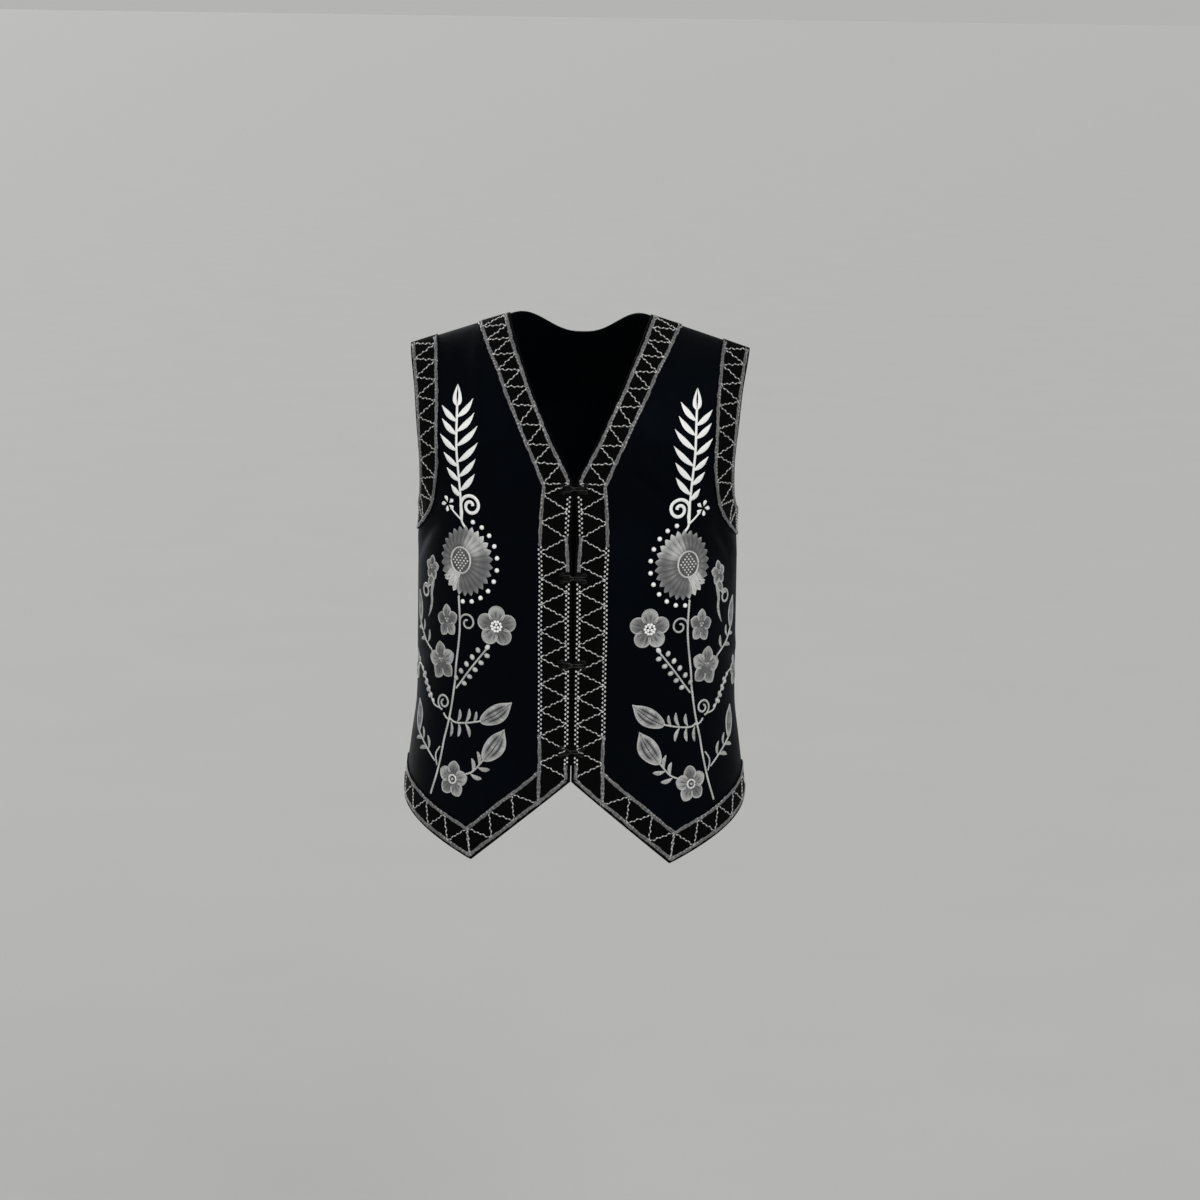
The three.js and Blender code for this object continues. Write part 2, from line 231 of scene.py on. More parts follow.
def frontEdge(z):
    # a near-straight V from the shoulder, then the centre front
    z = np.asarray(z, float)
    t = np.clip(-z / worn["neckDepth"], 0, 1)
    neckPart = mix(worn["neckHalf"], along(openings, -155.0, "half"), t)
    neckPart = neckPart + worn["neckBow"] * np.sin(math.pi * t)
    return np.where(z < -worn["neckDepth"], along(openings, z, "half"), neckPart)


shoulderTipZ = float(cellAtDrop(np.array(worn["armholeTurn"]), 0.0))
armholeStraight = shoulderTipZ - worn["armholeStraightTo"]
armholeDepth = worn["armholeStraightTo"] - worn["armholeBottom"]
armholeScoop = quarterTurn * math.hypot(worn["armholeHalfGirth"], armholeDepth) * math.sqrt(0.5)


def armholeEdge(share):
    # down the front of the arm, then a quarter of an ellipse under it: turn, z and lean
    length = np.asarray(share, float) * (armholeStraight + armholeScoop)
    around = np.clip((length - armholeStraight) / armholeScoop, 0, 1) * quarterTurn
    turn = quarterTurn - (quarterTurn - worn["armholeTurn"]) * np.cos(around)
    z = np.where(length < armholeStraight, shoulderTipZ - length,
                 worn["armholeStraightTo"] - armholeDepth * np.sin(around))
    lean = np.arctan2(np.sin(around) * worn["armholeHalfGirth"], np.cos(around) * armholeDepth)
    return turn, z, lean


def insideArmhole(share, width):
    # the cell a given width inside the armhole edge, square to it
    turn, z, lean = armholeEdge(share)
    start = wornPoint(turn, z, "front")
    drop = dropOf(turn, z) + width * np.sin(lean)
    near, far = np.zeros_like(turn), np.ones_like(turn)
    for _ in range(30):
        middle = (near + far) / 2
        reached = wornPoint(turn - middle, cellAtDrop(turn - middle, drop), "front") - start
        reached = np.linalg.norm(reached, axis=-1) > width
        near, far = np.where(reached, near, middle), np.where(reached, middle, far)
    square = lean > quarterTurn - 1e-6
    insideTurn = np.where(square, turn, turn - far)
    return insideTurn, np.where(square, z - width, cellAtDrop(insideTurn, drop))


hemSideGirth = float(girthAt(quarterTurn, worn["hemSide"]))
hemFall = (worn["hemCentre"] - worn["hemPoint"]) / worn["hemPointGirth"]
hemClimb = (worn["hemSide"] - worn["hemPoint"]) / (hemSideGirth - worn["hemPointGirth"])


def hemLine(girth, width):
    # height of the line a given width inside the hem's edge
    falling = worn["hemCentre"] - hemFall * girth + width * math.hypot(1, hemFall)
    climbing = worn["hemPoint"] + hemClimb * (girth - worn["hemPointGirth"])
    climbing = climbing + width * math.hypot(1, hemClimb)
    return np.maximum(falling, climbing)


print("worn form ready, hem from", round(worn["hemCentre"]), "to", round(worn["hemPoint"]), "mm")

# Soft creases of the cloth. Each row says the girth and height it runs from and to, its depth, in (-) or
# out (+), and its half width. Each front has its own, and the back has some like them.
creases = {
    "left": [
        (58, -146, 98, -178, -1.3, 4.5), (70, -138, 112, -170, 0.9, 8), (150, -200, 178, -232, -1.8, 6),
        (158, -188, 204, -238, 1.3, 8), (146, -222, 182, -254, -1.1, 5.5), (60, -352, 150, -364, -1.1, 8),
        (168, -330, 226, -352, -1.5, 7), (166, -318, 222, -336, 0.9, 8), (90, -420, 190, -402, 1.0, 13),
        (100, -40, 92, -110, 1.2, 12),
    ],
    "right": [
        (104, -28, 92, -96, 1.7, 9), (122, -40, 104, -120, -1.3, 8), (60, -208, 150, -198, -1.1, 9),
        (156, -204, 196, -240, -1.7, 7), (164, -190, 214, -228, 1.3, 8), (170, -340, 228, -356, -1.5, 7),
        (70, -372, 150, -352, -0.9, 9), (96, -430, 186, -410, 1.0, 13),
    ],
    "back": [
        (-138, -70, -56, -98, 2.2, 10), (-142, -92, -80, -118, -1.6, 8), (132, -62, 52, -88, 1.9, 11),
        (-62, -46, 54, -44, -1.8, 9), (-168, -214, -84, -258, -2.6, 9), (-160, -238, -96, -276, 1.7, 8),
        (172, -208, 88, -268, -2.4, 9), (150, -236, 104, -284, 1.5, 8), (-92, -330, 8, -344, 2.4, 10),
        (-40, -352, 84, -360, -2.3, 9), (20, -322, 128, -316, 2.0, 9), (-150, -346, -70, -366, -1.9, 9),
        (-6, -110, 4, -300, -2.2, 22), (-88, -384, -106, -500, 2.8, 17), (-52, -398, -60, -500, -2.2, 15),
        (66, -390, 84, -500, 2.6, 18), (124, -410, 138, -498, -2.0, 14), (-10, -402, -4, -500, -2.0, 18),
    ],
}


def creaseLift(where, girth, z):
    lift = np.zeros(np.broadcast(girth, z).shape)
    for g0, z0, g1, z1, depth, halfWidth in creases[where]:
        dg, dz = g1 - g0, z1 - z0
        t = ((girth - g0) * dg + (z - z0) * dz) / (dg * dg + dz * dz)
        near = np.clip(t, 0, 1)
        away = np.hypot(girth - g0 - near * dg, z - z0 - near * dz)
        taper = np.sqrt(np.clip(np.sin(math.pi * np.clip(0.12 + 0.76 * t, 0, 1)), 0, 1))
        lift = lift + depth * taper * np.exp(-((away / halfWidth) ** 2))
    return lift


def makeMesh(name, points, faces, spots, tones=None, smoothAngle=None):
    mesh = bpy.data.meshes.new(name)
    points, faces = np.asarray(points, np.float32), np.asarray(faces, np.int32)
    mesh.vertices.add(len(points))
    mesh.vertices.foreach_set("co", (points * metre).astype(np.float32).ravel())
    mesh.loops.add(faces.size)
    mesh.loops.foreach_set("vertex_index", faces.ravel())
    mesh.polygons.add(len(faces))
    mesh.polygons.foreach_set("loop_start", np.arange(0, faces.size, faces.shape[1], dtype=np.int32))
    mesh.update(calc_edges=True)
    mesh.shade_smooth()
    if smoothAngle:
        mesh.set_sharp_from_angle(angle=math.radians(smoothAngle))
    uv = mesh.uv_layers.new(name="cloth")  # flat millimetres over 100
    uv.data.foreach_set("uv", (spots[faces.ravel()] * 0.01).astype(np.float32).ravel())
    if tones is not None:
        tone = mesh.attributes.new("tone", "FLOAT", "POINT")
        tone.data.foreach_set("value", np.asarray(tones, np.float32))
    piece = bpy.data.objects.new(name, mesh)
    bpy.context.scene.collection.objects.link(piece)
    return piece


def quadIndex(index):
    return np.stack([index[:-1, :-1], index[1:, :-1], index[1:, 1:], index[:-1, 1:]], -1).reshape(-1, 4)


def clothShell(name, turn, z, quads, face, side, where, lower, upper, roundness):
    # a closed wall over the quads, with its edges rounded over
    base, normal = wornPoint(turn, z, face), outward(turn, z, face)
    girth = girthAt(turn, z, face)
    crease = creaseLift(where, girth, z)[:, None]
    quads = quads if face == "front" else quads[:, ::-1]
    edgeCount = {}
    for a, b in quads[:, [0, 1, 1, 2, 2, 3, 3, 0]].reshape(-1, 2).tolist():
        if (b, a) in edgeCount:
            del edgeCount[(b, a)]
        else:
            edgeCount[(a, b)] = True
    edges = np.array(list(edgeCount), int)
    edgeLine = unit(base[edges[:, 1]] - base[edges[:, 0]])
    sideways = np.zeros_like(base)
    for end in (0, 1):
        np.add.at(sideways, edges[:, end], np.cross(edgeLine, normal[edges[:, end]]))
    rim = np.unique(edges)
    middle = base[rim] + normal[rim] * ((lower + upper) / 2 + crease[rim]) + unit(sideways[rim]) * roundness
    points = np.concatenate([base + normal * (upper + crease), base + normal * (lower + crease), middle])
    n = len(base)
    rimIndex = np.full(n, -1)
    rimIndex[rim] = 2 * n + np.arange(len(rim))
    a, b = edges[:, 0], edges[:, 1]
    faces = np.concatenate([
        quads,
        quads[:, ::-1] + n,
        np.stack([b, a, rimIndex[a], rimIndex[b]], -1),
        np.stack([rimIndex[b], rimIndex[a], a + n, b + n], -1),
    ])
    spots = np.stack([girth, z], -1)
    spots = np.concatenate([spots, spots, spots[rim]])
    if side < 0:
        points = points * (-1, 1, 1)
        faces = faces[:, ::-1]
    piece = makeMesh(name, points, faces, spots, smoothAngle=50)
    wrongSide = np.zeros(len(faces), np.int32)
    wrongSide[len(quads): 2 * len(quads)] = 1
    piece.data.polygons.foreach_set("material_index", wrongSide)
    return piece


# Finer grids of the same cells that the frame's panels have
grid = {
    "neckRows": 10, "chestRows": 4, "bodyRows": 10, "hemRows": 2,
    "bandColumns": 2, "toPoint": 4, "toSide": 8,
    "chestRowHeight": 16.75, "firstRowsCloser": 1.2,
    "finerRows": 6, "finerBand": 4, "finerColumns": 4,
    "backChest": 12, "backBody": 10, "backNeck": 4, "backShoulder": 5,
    "backInnerTurn": math.radians(42), "finerBack": 5,
}


def frontBandCell(z, share):
    # rows of the band keep their drop below the shoulder ridge
    z = np.asarray(z, float)
    edge = frontEdge(z)
    x = edge + along(frontBandWidths, z, "width") * share
    height = ridgeHeight(x) - (ridgeHeight(edge) - z)
    return turnAt(x, height), height


def pointShare(girth):
    # share of the turn at which the hem's point lies
    z = worn["hemPoint"]
    start = turnAt(frontEdge(z) + along(frontBandWidths, z, "width"), z)
    return float((np.interp(girth, girthTables["front"][0], girthTurns) - start) / (quarterTurn - start))


def panelShares(share):
    finer = grid["finerColumns"]
    first = np.linspace(0, share, grid["toPoint"] * finer + 1)[1:]
    return np.concatenate([first, np.linspace(share, 1, grid["toSide"] * finer + 1)[1:]])


def frontCells():
    finer, bandSteps = grid["finerRows"], grid["bandColumns"] * grid["finerBand"]
    total = grid["neckRows"] + grid["chestRows"]
    i = np.arange(0, total + 1e-6, 1 / finer)
    neckShare = np.minimum(i, grid["neckRows"]) / grid["neckRows"]
    onNeck = worn["neckDepth"] * neckShare ** grid["firstRowsCloser"]
    rowZ = -onNeck - np.maximum(i - grid["neckRows"], 0) * grid["chestRowHeight"]
    armShare = (i / total) ** grid["firstRowsCloser"]
    upperShares = panelShares(pointShare(worn["hemInnerPointGirth"]))
    lowerShares = panelShares(pointShare(worn["hemPointGirth"]))
    bandShares = np.linspace(0, 1, bandSteps + 1)
    bandTurn, bandZ = frontBandCell(rowZ[:, None], bandShares[None])
    innerTurn, innerZ = insideArmhole(armShare, worn["armholeBand"])
    startDrop = dropOf(bandTurn[:, -1], bandZ[:, -1])
    turn = mix(bandTurn[:, -1:], innerTurn[:, None], upperShares[None])
    z = cellAtDrop(turn, mix(startDrop[:, None], dropOf(innerTurn, innerZ)[:, None], upperShares[None]))
    armTurn, armZ = [], []
    for width in np.linspace(worn["armholeBand"], 0, bandSteps + 1)[1:-1]:
        cellTurn, cellZ = insideArmhole(armShare, width)
        armTurn.append(cellTurn)
        armZ.append(cellZ)
    edgeTurn, edgeZ, _ = armholeEdge(armShare)
    chestTurn = np.concatenate([bandTurn, turn, np.array(armTurn).T, edgeTurn[:, None]], 1)
    chestZ = np.concatenate([bandZ, z, np.array(armZ).T, edgeZ[:, None]], 1)
    # from the underarm to the hem, the last rows holding the hem band
    inner = bandSteps + 1 + len(upperShares)
    topZ = chestZ[-1, :inner]
    i = np.arange(1 / finer, grid["bodyRows"] + grid["hemRows"] + 1e-6, 1 / finer)[:, None]
    down = np.minimum(i / grid["bodyRows"], 1)
    inHem = np.maximum(i - grid["bodyRows"], 0) / grid["hemRows"]
    bodyZ = np.broadcast_to(topZ, (len(i), inner)).copy()
    shares = mix(upperShares[None], lowerShares[None], inHem)
    for _ in range(12):
        edge, width = frontEdge(bodyZ), along(frontBandWidths, bodyZ, "width")
        bodyTurn = turnAt(edge + width * np.pad(bandShares, (0, inner - len(bandShares)))[None], bodyZ)
        rest = slice(len(bandShares), None)
        start = turnAt((edge + width)[:, rest], bodyZ[:, rest])
        bodyTurn[:, rest] = mix(start, quarterTurn, shares)
        girth = girthAt(bodyTurn, bodyZ)
        bodyZ = mix(mix(topZ[None], hemLine(girth, worn["hemBand"]), down), hemLine(girth, 0), inHem)
    return chestTurn, chestZ, bodyTurn, bodyZ


chestTurn, chestZ, bodyTurn, bodyZ = frontCells()
inner = bodyTurn.shape[1]
bandSteps = grid["bandColumns"] * grid["finerBand"]
chestIndex = np.arange(chestTurn.size).reshape(chestTurn.shape)
bodyIndex = chestTurn.size + np.arange(bodyTurn.size).reshape(bodyTurn.shape)
bodyIndex = np.concatenate([chestIndex[-1:, :inner], bodyIndex])
frontTurn = np.concatenate([chestTurn.ravel(), bodyTurn.ravel()])
frontZ = np.concatenate([chestZ.ravel(), bodyZ.ravel()])
hemFrom = grid["bodyRows"] * grid["finerRows"]


def backCells():
    finer = grid["finerBack"]
    neckTurn = float(turnAt(worn["neckHalf"], 0.0))
    c = np.arange(0, grid["backNeck"] + grid["backShoulder"] + 1e-6, 1 / finer)
    inNeck = np.minimum(c / grid["backNeck"], 1)
    inShoulder = np.maximum(c - grid["backNeck"], 0) / grid["backShoulder"]
    x = wornPoint(neckTurn * inNeck, 0 * inNeck, "back")[:, 0]
    out = x / worn["neckHalf"]
    scoop = np.clip(1 - out ** worn["backNeckCurve"], 0, 1) ** worn["backNeckHold"]
    hemTurn = mix(grid["backInnerTurn"] * inNeck, quarterTurn, inShoulder)
    hemZ = mix(worn["hemBack"], worn["hemSide"], hemTurn / quarterTurn)
    topDrop = np.where(inNeck < 1, (worn["backNeckDepth"] + ridgeHeight(0)) * scoop, 0)
    hemDrop = dropOf(hemTurn, hemZ)
    i = np.arange(0, grid["backChest"] + grid["backBody"] + 1e-6, 1 / finer)
    edgeTurn, edgeZ, _ = armholeEdge(np.minimum(i / grid["backChest"], 1) ** grid["firstRowsCloser"])
    edgeZ = mix(edgeZ, worn["hemSide"], np.maximum(i - grid["backChest"], 0) / grid["backBody"])
    edgeDrop = dropOf(edgeTurn, edgeZ)
    down = edgeDrop / float(dropOf(np.array(quarterTurn), worn["hemSide"]))
    spread = np.minimum(edgeDrop / float(dropOf(np.array(quarterTurn), worn["armholeBottom"])), 1)
    innerTurn = mix(neckTurn, grid["backInnerTurn"], spread)
    turn = mix(innerTurn[:, None] * inNeck, edgeTurn[:, None], inShoulder)
    z = cellAtDrop(turn, mix(topDrop[None], hemDrop[None], down[:, None]))
    return np.concatenate([-turn[:, :0:-1], turn], 1), np.concatenate([z[:, :0:-1], z], 1)


cloth = worn["clothThickness"]
bandLow, bandTop = cloth + 0.05, cloth + 0.3 + worn["bandThickness"]
shells = {}
backTurn, backZ = backCells()
backIndex = np.arange(backTurn.size).reshape(backTurn.shape)
shells["back"] = clothShell("back_cloth", backTurn.ravel(), backZ.ravel(), quadIndex(backIndex),
                            "back", 1, "back", 0, cloth, 0.6)
for sideName, side in (("left", 1), ("right", -1)):
    bands = {
        "front_band": [chestIndex[:, : bandSteps + 1], bodyIndex[:, : bandSteps + 1]],
        "armhole_band": [chestIndex[:, inner - 1:]],
        "hem_band": [bodyIndex[hemFrom:, bandSteps:]],
    }
    quads = np.concatenate([quadIndex(chestIndex), quadIndex(bodyIndex)])
    shells[f"front_{sideName}"] = clothShell(f"front_{sideName}_cloth", frontTurn, frontZ, quads,
                                             "front", side, sideName, 0, cloth, 0.4)
    for bandName, blocks in bands.items():
        quads = np.concatenate([quadIndex(block) for block in blocks])
        used, renumbered = np.unique(quads, return_inverse=True)
        shells[f"{bandName}_{sideName}"] = clothShell(
            f"{bandName}_{sideName}_cloth", frontTurn[used], frontZ[used], renumbered.reshape(-1, 4),
            "front", side, sideName, bandLow, bandTop, 0.35)
for node, piece in shells.items():
    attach(piece, "root")
    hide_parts(node)
print("cloth shells:", sum(len(piece.data.polygons) for piece in shells.values()), "faces")


# Embroidery. Work gathers its pieces in flat coordinates, girth and height, and is laid on both fronts.
def newWork():
    return {"points": [], "normals": [], "spots": [], "tones": [], "faces": [], "count": 0}


def addPieces(work, points, normals, spots, tones):
    # points are (pieces, rows, columns, 3), each piece a small sheet standing out of the cloth
    index = work["count"] + np.arange(points[..., 0].size).reshape(points.shape[:3])
    corners = [index[:, :-1, :-1], index[:, 1:, :-1], index[:, 1:, 1:], index[:, :-1, 1:]]
    faces = np.stack(corners, -1).reshape(len(index), -1, 4)
    across, down = points[:, :-1, 1:] - points[:, :-1, :-1], points[:, 1:, :-1] - points[:, :-1, :-1]
    facing = (np.cross(down, across) * normals[:, :-1, :-1]).sum((1, 2, 3))
    faces[facing < 0] = faces[facing < 0][:, :, ::-1]
    work["points"].append(points.reshape(-1, 3))
    work["normals"].append(normals.reshape(-1, 3))
    work["spots"].append(spots.reshape(-1, 2))
    work["tones"].append(np.broadcast_to(tones, points.shape[:3]).reshape(-1))
    work["faces"].append(faces.reshape(-1, 4))
    work["count"] += index.size


def joined(work):
    return [np.concatenate(work[key]) for key in ("points", "normals", "spots", "tones", "faces")]


def clothFrame(flat):
    # points of the worn surface under flat points, and its outward directions
    turn = turnAtGirth(flat[..., 0], flat[..., 1])
    return wornPoint(turn, flat[..., 1], "front"), outward(turn, flat[..., 1], "front")


def addFlat(work, flat, lift, tones):
    base, normal = clothFrame(flat)
    addPieces(work, base + normal * lift[..., None], normal, flat, tones)


def smoothLine(points, spacing):
    # an even line of points on a smooth curve through the given ones
    points = np.asarray(points, float)
    ends = np.concatenate([[2 * points[0] - points[1]], points, [2 * points[-1] - points[-2]]])
    t = np.linspace(0, 1, 24, endpoint=False)[:, None]
    curve = []
    for a, b, c, d in zip(ends, ends[1:], ends[2:], ends[3:]):
        curve.append(0.5 * (2 * b + (c - a) * t + (2 * a - 5 * b + 4 * c - d) * t ** 2
                            + (3 * b - a - 3 * c + d) * t ** 3))
    return evenLine(np.concatenate(curve + [points[-1:]]), spacing)


def runAlong(points):
    # distance from the start of a line to each of its points
    return np.concatenate([[0], np.cumsum(np.linalg.norm(np.diff(points, axis=0), axis=1))])


def readLine(line, run, at):
    # the places at some distances along a line, run being the distances of its own points
    return np.stack([np.interp(at, run, line[:, k]) for k in range(line.shape[1])], -1)


def evenLine(points, spacing):
    points = np.asarray(points, float)
    run = runAlong(points)
    return readLine(points, run, np.linspace(0, run[-1], max(3, int(round(run[-1] / spacing)) + 1)))


def turnedLeft(way):
    return np.stack([-way[..., 1], way[..., 0]], -1)


def leftOf(line):
    return turnedLeft(unit(np.gradient(line, axis=0)))


def oval(angle, wide, high):
    return np.stack([np.cos(angle) * wide, np.sin(angle) * high], -1)


threadPitch = 0.5  # between the threads of satin
ropeSides = 6  # points across a thread


def twistedRope(work, line, width, height, tone, ply=3.0, depth=0.3, lift=0.0):
    # thread laid along a line, with the turns of its ply as slanting grooves
    line = np.asarray(line, float)
    base, normal = clothFrame(line)
    ahead = unit(np.gradient(base, axis=0))
    sideways = unit(np.cross(normal, ahead))
    run = runAlong(base)
    angle = np.linspace(0, math.pi, ropeSides)
    groove = np.cos(math.pi * (run[:, None] / ply + angle[None] / math.pi)) ** 2
    size = 1 - depth * groove ** 3
    taper = np.clip(np.minimum(run, run[-1] - run) / (0.5 * width), 0.15, 1)[:, None] ** 0.5
    across = -np.cos(angle)[None] * size * taper * width / 2
    up = np.sin(angle)[None] * size * taper * height - 0.12 + lift
    points = base[:, None] + sideways[:, None] * across[..., None] + normal[:, None] * up[..., None]
    # painted shade: the grooves of the ply are darker; the slow wave along the run is the thread's own
    # lightness
    shade = tone * (1 - 0.35 * depth * groove) + 0.04 * np.sin(run * 0.21)[:, None]
    spots = np.broadcast_to(line[:, None], points.shape[:2] + (2,))
    normals = np.broadcast_to(normal[:, None], points.shape)
    addPieces(work, points[None], normals[None], spots[None], shade[None])


def withMiddles(edge):
    return np.insert(edge, np.arange(1, len(edge)), (edge[1:] + edge[:-1]) / 2, axis=0)


def satin(work, starts, ends, tone, crown=0.5, lift=0.0, rows=6, sheen=None, dent=None):
    # threads side by side from one edge to the other, raised over padding in the middle;
    # sheen and dent change the lightness and the height by the place along and across the threads
    starts, ends = withMiddles(starts), withMiddles(ends)
    share = np.linspace(0, 1, rows)[:, None]
    flat = mix(starts[None], ends[None], share[..., None])
    order = np.linspace(0, 1, len(starts))[None]
    ridge = np.where(np.arange(len(starts)) % 2, 0.0, 0.16)
    up = lift + crown * (4 * share * (1 - share)) ** 0.6 + ridge[None] - 0.14
    if dent is not None:
        up = up - dent(share, order)
    up = np.where((share < 1e-6) | (share > 1 - 1e-6), lift - 0.15, up)
    grain = np.repeat(rng.normal(0, 0.045, len(starts) // 2 + 1), 2)[: len(starts)]
    # painted shade: the valleys between threads are 0.10 darker; grain is each thread's own lightness
    shade = tone + grain[None] - 0.10 * (ridge[None] == 0)
    if sheen is not None:
        shade = shade + sheen(share, order)
    up, shade = np.broadcast_to(up, flat.shape[:2]), np.broadcast_to(shade, flat.shape[:2])
    addFlat(work, flat[None], up[None], shade[None])


def satinStroke(work, line, width, tone, crown=0.5, slant=0.0):
    # a padded line of satin, its threads square to the line or leaning
    line = evenLine(line, threadPitch)
    side, half = leftOf(line), width / 2
    shift = -turnedLeft(side) * (half * slant)
    satin(work, line + side * half + shift, line - side * half - shift, tone, crown, rows=5)


def knots(work, centres, radius, height, tone, lift=0.0, stretch=None, sides=14):
    # small raised dots; stretch gives each its long axis as a flat vector
    centres = np.asarray(centres, float).reshape(-1, 2)
    base, normal = clothFrame(centres)
    lower, _ = clothFrame(centres - (0, 1.0))
    up = unit(base - lower)
    right = unit(np.cross(up, normal))
    around = np.linspace(0, 2 * math.pi, sides + 1)
    rings = np.array([(0, 1), (0.5, 0.9), (0.87, 0.52), (1.0, -0.12)])
    across = np.cos(around)[None, None, :, None] * rings[:, 0][None, :, None, None] * radius
    alongShare = np.sin(around)[None, None, :, None] * rings[:, 0][None, :, None, None] * radius
    if stretch is None:
        ahead, aside = up, right
    else:
        stretch = np.broadcast_to(np.asarray(stretch, float), centres.shape)
        size = np.linalg.norm(stretch, axis=1, keepdims=True)
        ahead = up * (stretch[:, 1:] / size) + right * (stretch[:, :1] / size)
        aside = unit(np.cross(ahead, normal))
        alongShare = alongShare * size[:, :, None, None]
    points = (base[:, None, None] + aside[:, None, None] * across + ahead[:, None, None] * alongShare
              + normal[:, None, None] * (rings[:, 1] * height + lift)[None, :, None, None])
    shape = points.shape
    spots = np.broadcast_to(centres[:, None, None], shape[:3] + (2,))
    # painted shade: each dot is darker towards its foot on the cloth; the random part is each dot's own
    # lightness
    tones = tone + rng.normal(0, 0.05, len(centres))[:, None, None] - 0.12 * rings[:, 0][None, :, None] ** 2
    addPieces(work, points, np.broadcast_to(normal[:, None, None], shape), spots, tones)


def leaf(work, base, tip, width, tone, bend=0.0, crown=0.45, fullest=0.5, point=0.8):
    # a pointed leaf of slanting threads; bend bows it to the left of its way
    base, tip = np.asarray(base, float), np.asarray(tip, float)
    length = np.linalg.norm(tip - base)
    ahead = (tip - base) / length
    t = np.linspace(0, 1, max(5, int(length / threadPitch)))
    bow = turnedLeft(ahead) * (bend * length * np.sin(math.pi * t))[:, None]
    spine = base + ahead * (t * length)[:, None] + bow
    half = width / 2 * np.sin(math.pi * t ** (math.log(0.5) / math.log(fullest))) ** mix(0.8, point, t) + 0.15
    # each thread's far end lags behind its near one
    lag = np.clip(t * length - width * 0.35, 0, None) / length
    spineLag, halfLag = readLine(spine, t, lag), np.interp(lag, t, half)
    side, sideLag = leftOf(spine), leftOf(spineLag)
    sideLag = np.where(np.linalg.norm(sideLag, axis=1, keepdims=True) < 0.5, side, sideLag)
    satin(work, spine + side * half[:, None], spineLag - sideLag * halfLag[:, None], tone, crown, rows=5)


# The fern at the top of each front, its scroll and its five drops
fern = {
    "stem": [(121.5, -84), (119.5, -125), (116.5, -169), (116.5, -195), (112, -204)],
    "stemWidth": 2.8,
    "leafWidth": 6.1,
    "tipLeaf": {"base": (121.6, -85), "tip": (122.2, -64.5), "width": 10.5},
    # heights of the leaf tips on each side of the stem, and how far out they reach
    "outerLeaves": [(-85, 18), (-97.4, 17.5), (-112, 19.5), (-129, 15.5), (-144, 13.5), (-160.6, 10)],
    "innerLeaves": [(-77, 17), (-90, 18.5), (-102, 22), (-117.6, 22), (-133.5, 19), (-148.4, 17)],
    "outerRise": 14.5, "innerRise": 18.5,
    "scroll": {"centre": (105.0, -181), "radius": 11.6, "turns": 1.62, "width": 3.7},
    "drops": {"centre": (132, -181), "count": 5, "reach": 8.6, "length": 6.4, "width": 4.2},
}


def spiralLine(centre, radius, turns, startAngle, inner=0.12, mirrored=False):
    # from the outside end inward
    t = np.linspace(0, 1, 90)
    angle = startAngle + (-1 if mirrored else 1) * t * turns * 2 * math.pi
    size = radius * mix(1.0, inner, t ** 1.15)
    return np.array(centre) + oval(angle, size, size)


def makeFern(white):
    stem = smoothLine(fern["stem"], 0.5)
    satinStroke(white, stem, fern["stemWidth"], 0.86, crown=0.5, slant=0.7)
    tip = fern["tipLeaf"]
    for side in (-1, 1):  # two halves with a slit between them
        t = np.linspace(0, 1, 42)
        spine = mix(np.array(tip["base"]), np.array(tip["tip"]), t[:, None])
        half = tip["width"] / 2 * np.sin(math.pi * t ** 0.85) ** 0.8
        slit = 0.5 * np.sin(math.pi * np.clip((t - 0.2) / 0.6, 0, 1))
        edge = spine + np.stack([side * half, -3.0 * np.sin(math.pi * t)], -1)
        satin(white, spine + np.stack([side * (slit + 0.05), 0 * t], -1), edge, 0.86, crown=0.5, rows=4)
    for side, tips in ((1, "outer"), (-1, "inner")):
        for z, reach in fern[tips + "Leaves"]:
            baseZ = z - fern[tips + "Rise"] * (0.55 + 0.45 * reach / 18)
            baseG = np.interp(-baseZ, [-p[1] for p in fern["stem"]], [p[0] for p in fern["stem"]])
            base, end = (baseG + side * 0.4, baseZ), (baseG + side * reach, z)
            leaf(white, base, end, fern["leafWidth"], 0.88, bend=-0.05 * side,
                 crown=0.55, fullest=0.46, point=1.25)
    scroll = fern["scroll"]
    line = spiralLine(scroll["centre"], scroll["radius"], scroll["turns"], math.radians(-28), inner=0.16)
    line = np.concatenate([smoothLine([(116.5, -196), (116.0, -190.5), line[0]], 1.0)[:-1], line])
    satinStroke(white, smoothLine(line[::4], 0.5), scroll["width"], 0.88, crown=0.7, slant=0.3)
    drops = fern["drops"]
    for i in range(drops["count"]):
        angle = math.radians(70) + i * 2 * math.pi / drops["count"]
        way = np.array([math.cos(angle), math.sin(angle)])
        centre = np.array(drops["centre"])
        leaf(white, centre + way * (drops["reach"] - drops["length"]), centre + way * drops["reach"],
             drops["width"], 0.88, crown=0.8, fullest=0.62)
    satinStroke(white, smoothLine([(116.5, -196), (122, -191.5), (129, -185)], 0.5), 2.2, 0.84)


# The sunflower: pointed rays round a core of crossed threads, with a half ring of knots
sunflower = {
    "centre": (111.5, -237), "halfWidth": 31.5, "halfHeight": 36,
    "core": (116.5, -236.5), "coreWidth": 11.5, "coreHeight": 13,
    "rays": 26, "rayDepth": 0.14, "thread": 0.55,
    # angle, spread, how bright
    "brightRays": [(math.radians(130), 0.60, 0.30), (math.radians(-52), 0.45, 0.42)],
    "swooshRays": [math.radians(-66), math.radians(-30)],
    "dotPitch": 4.2, "rimWidth": 2.4,
    "knotCount": 11, "knotFrom": math.radians(104), "knotTo": math.radians(274), "knotReach": (35.5, 41),
    "knotRadius": 2.4,
}


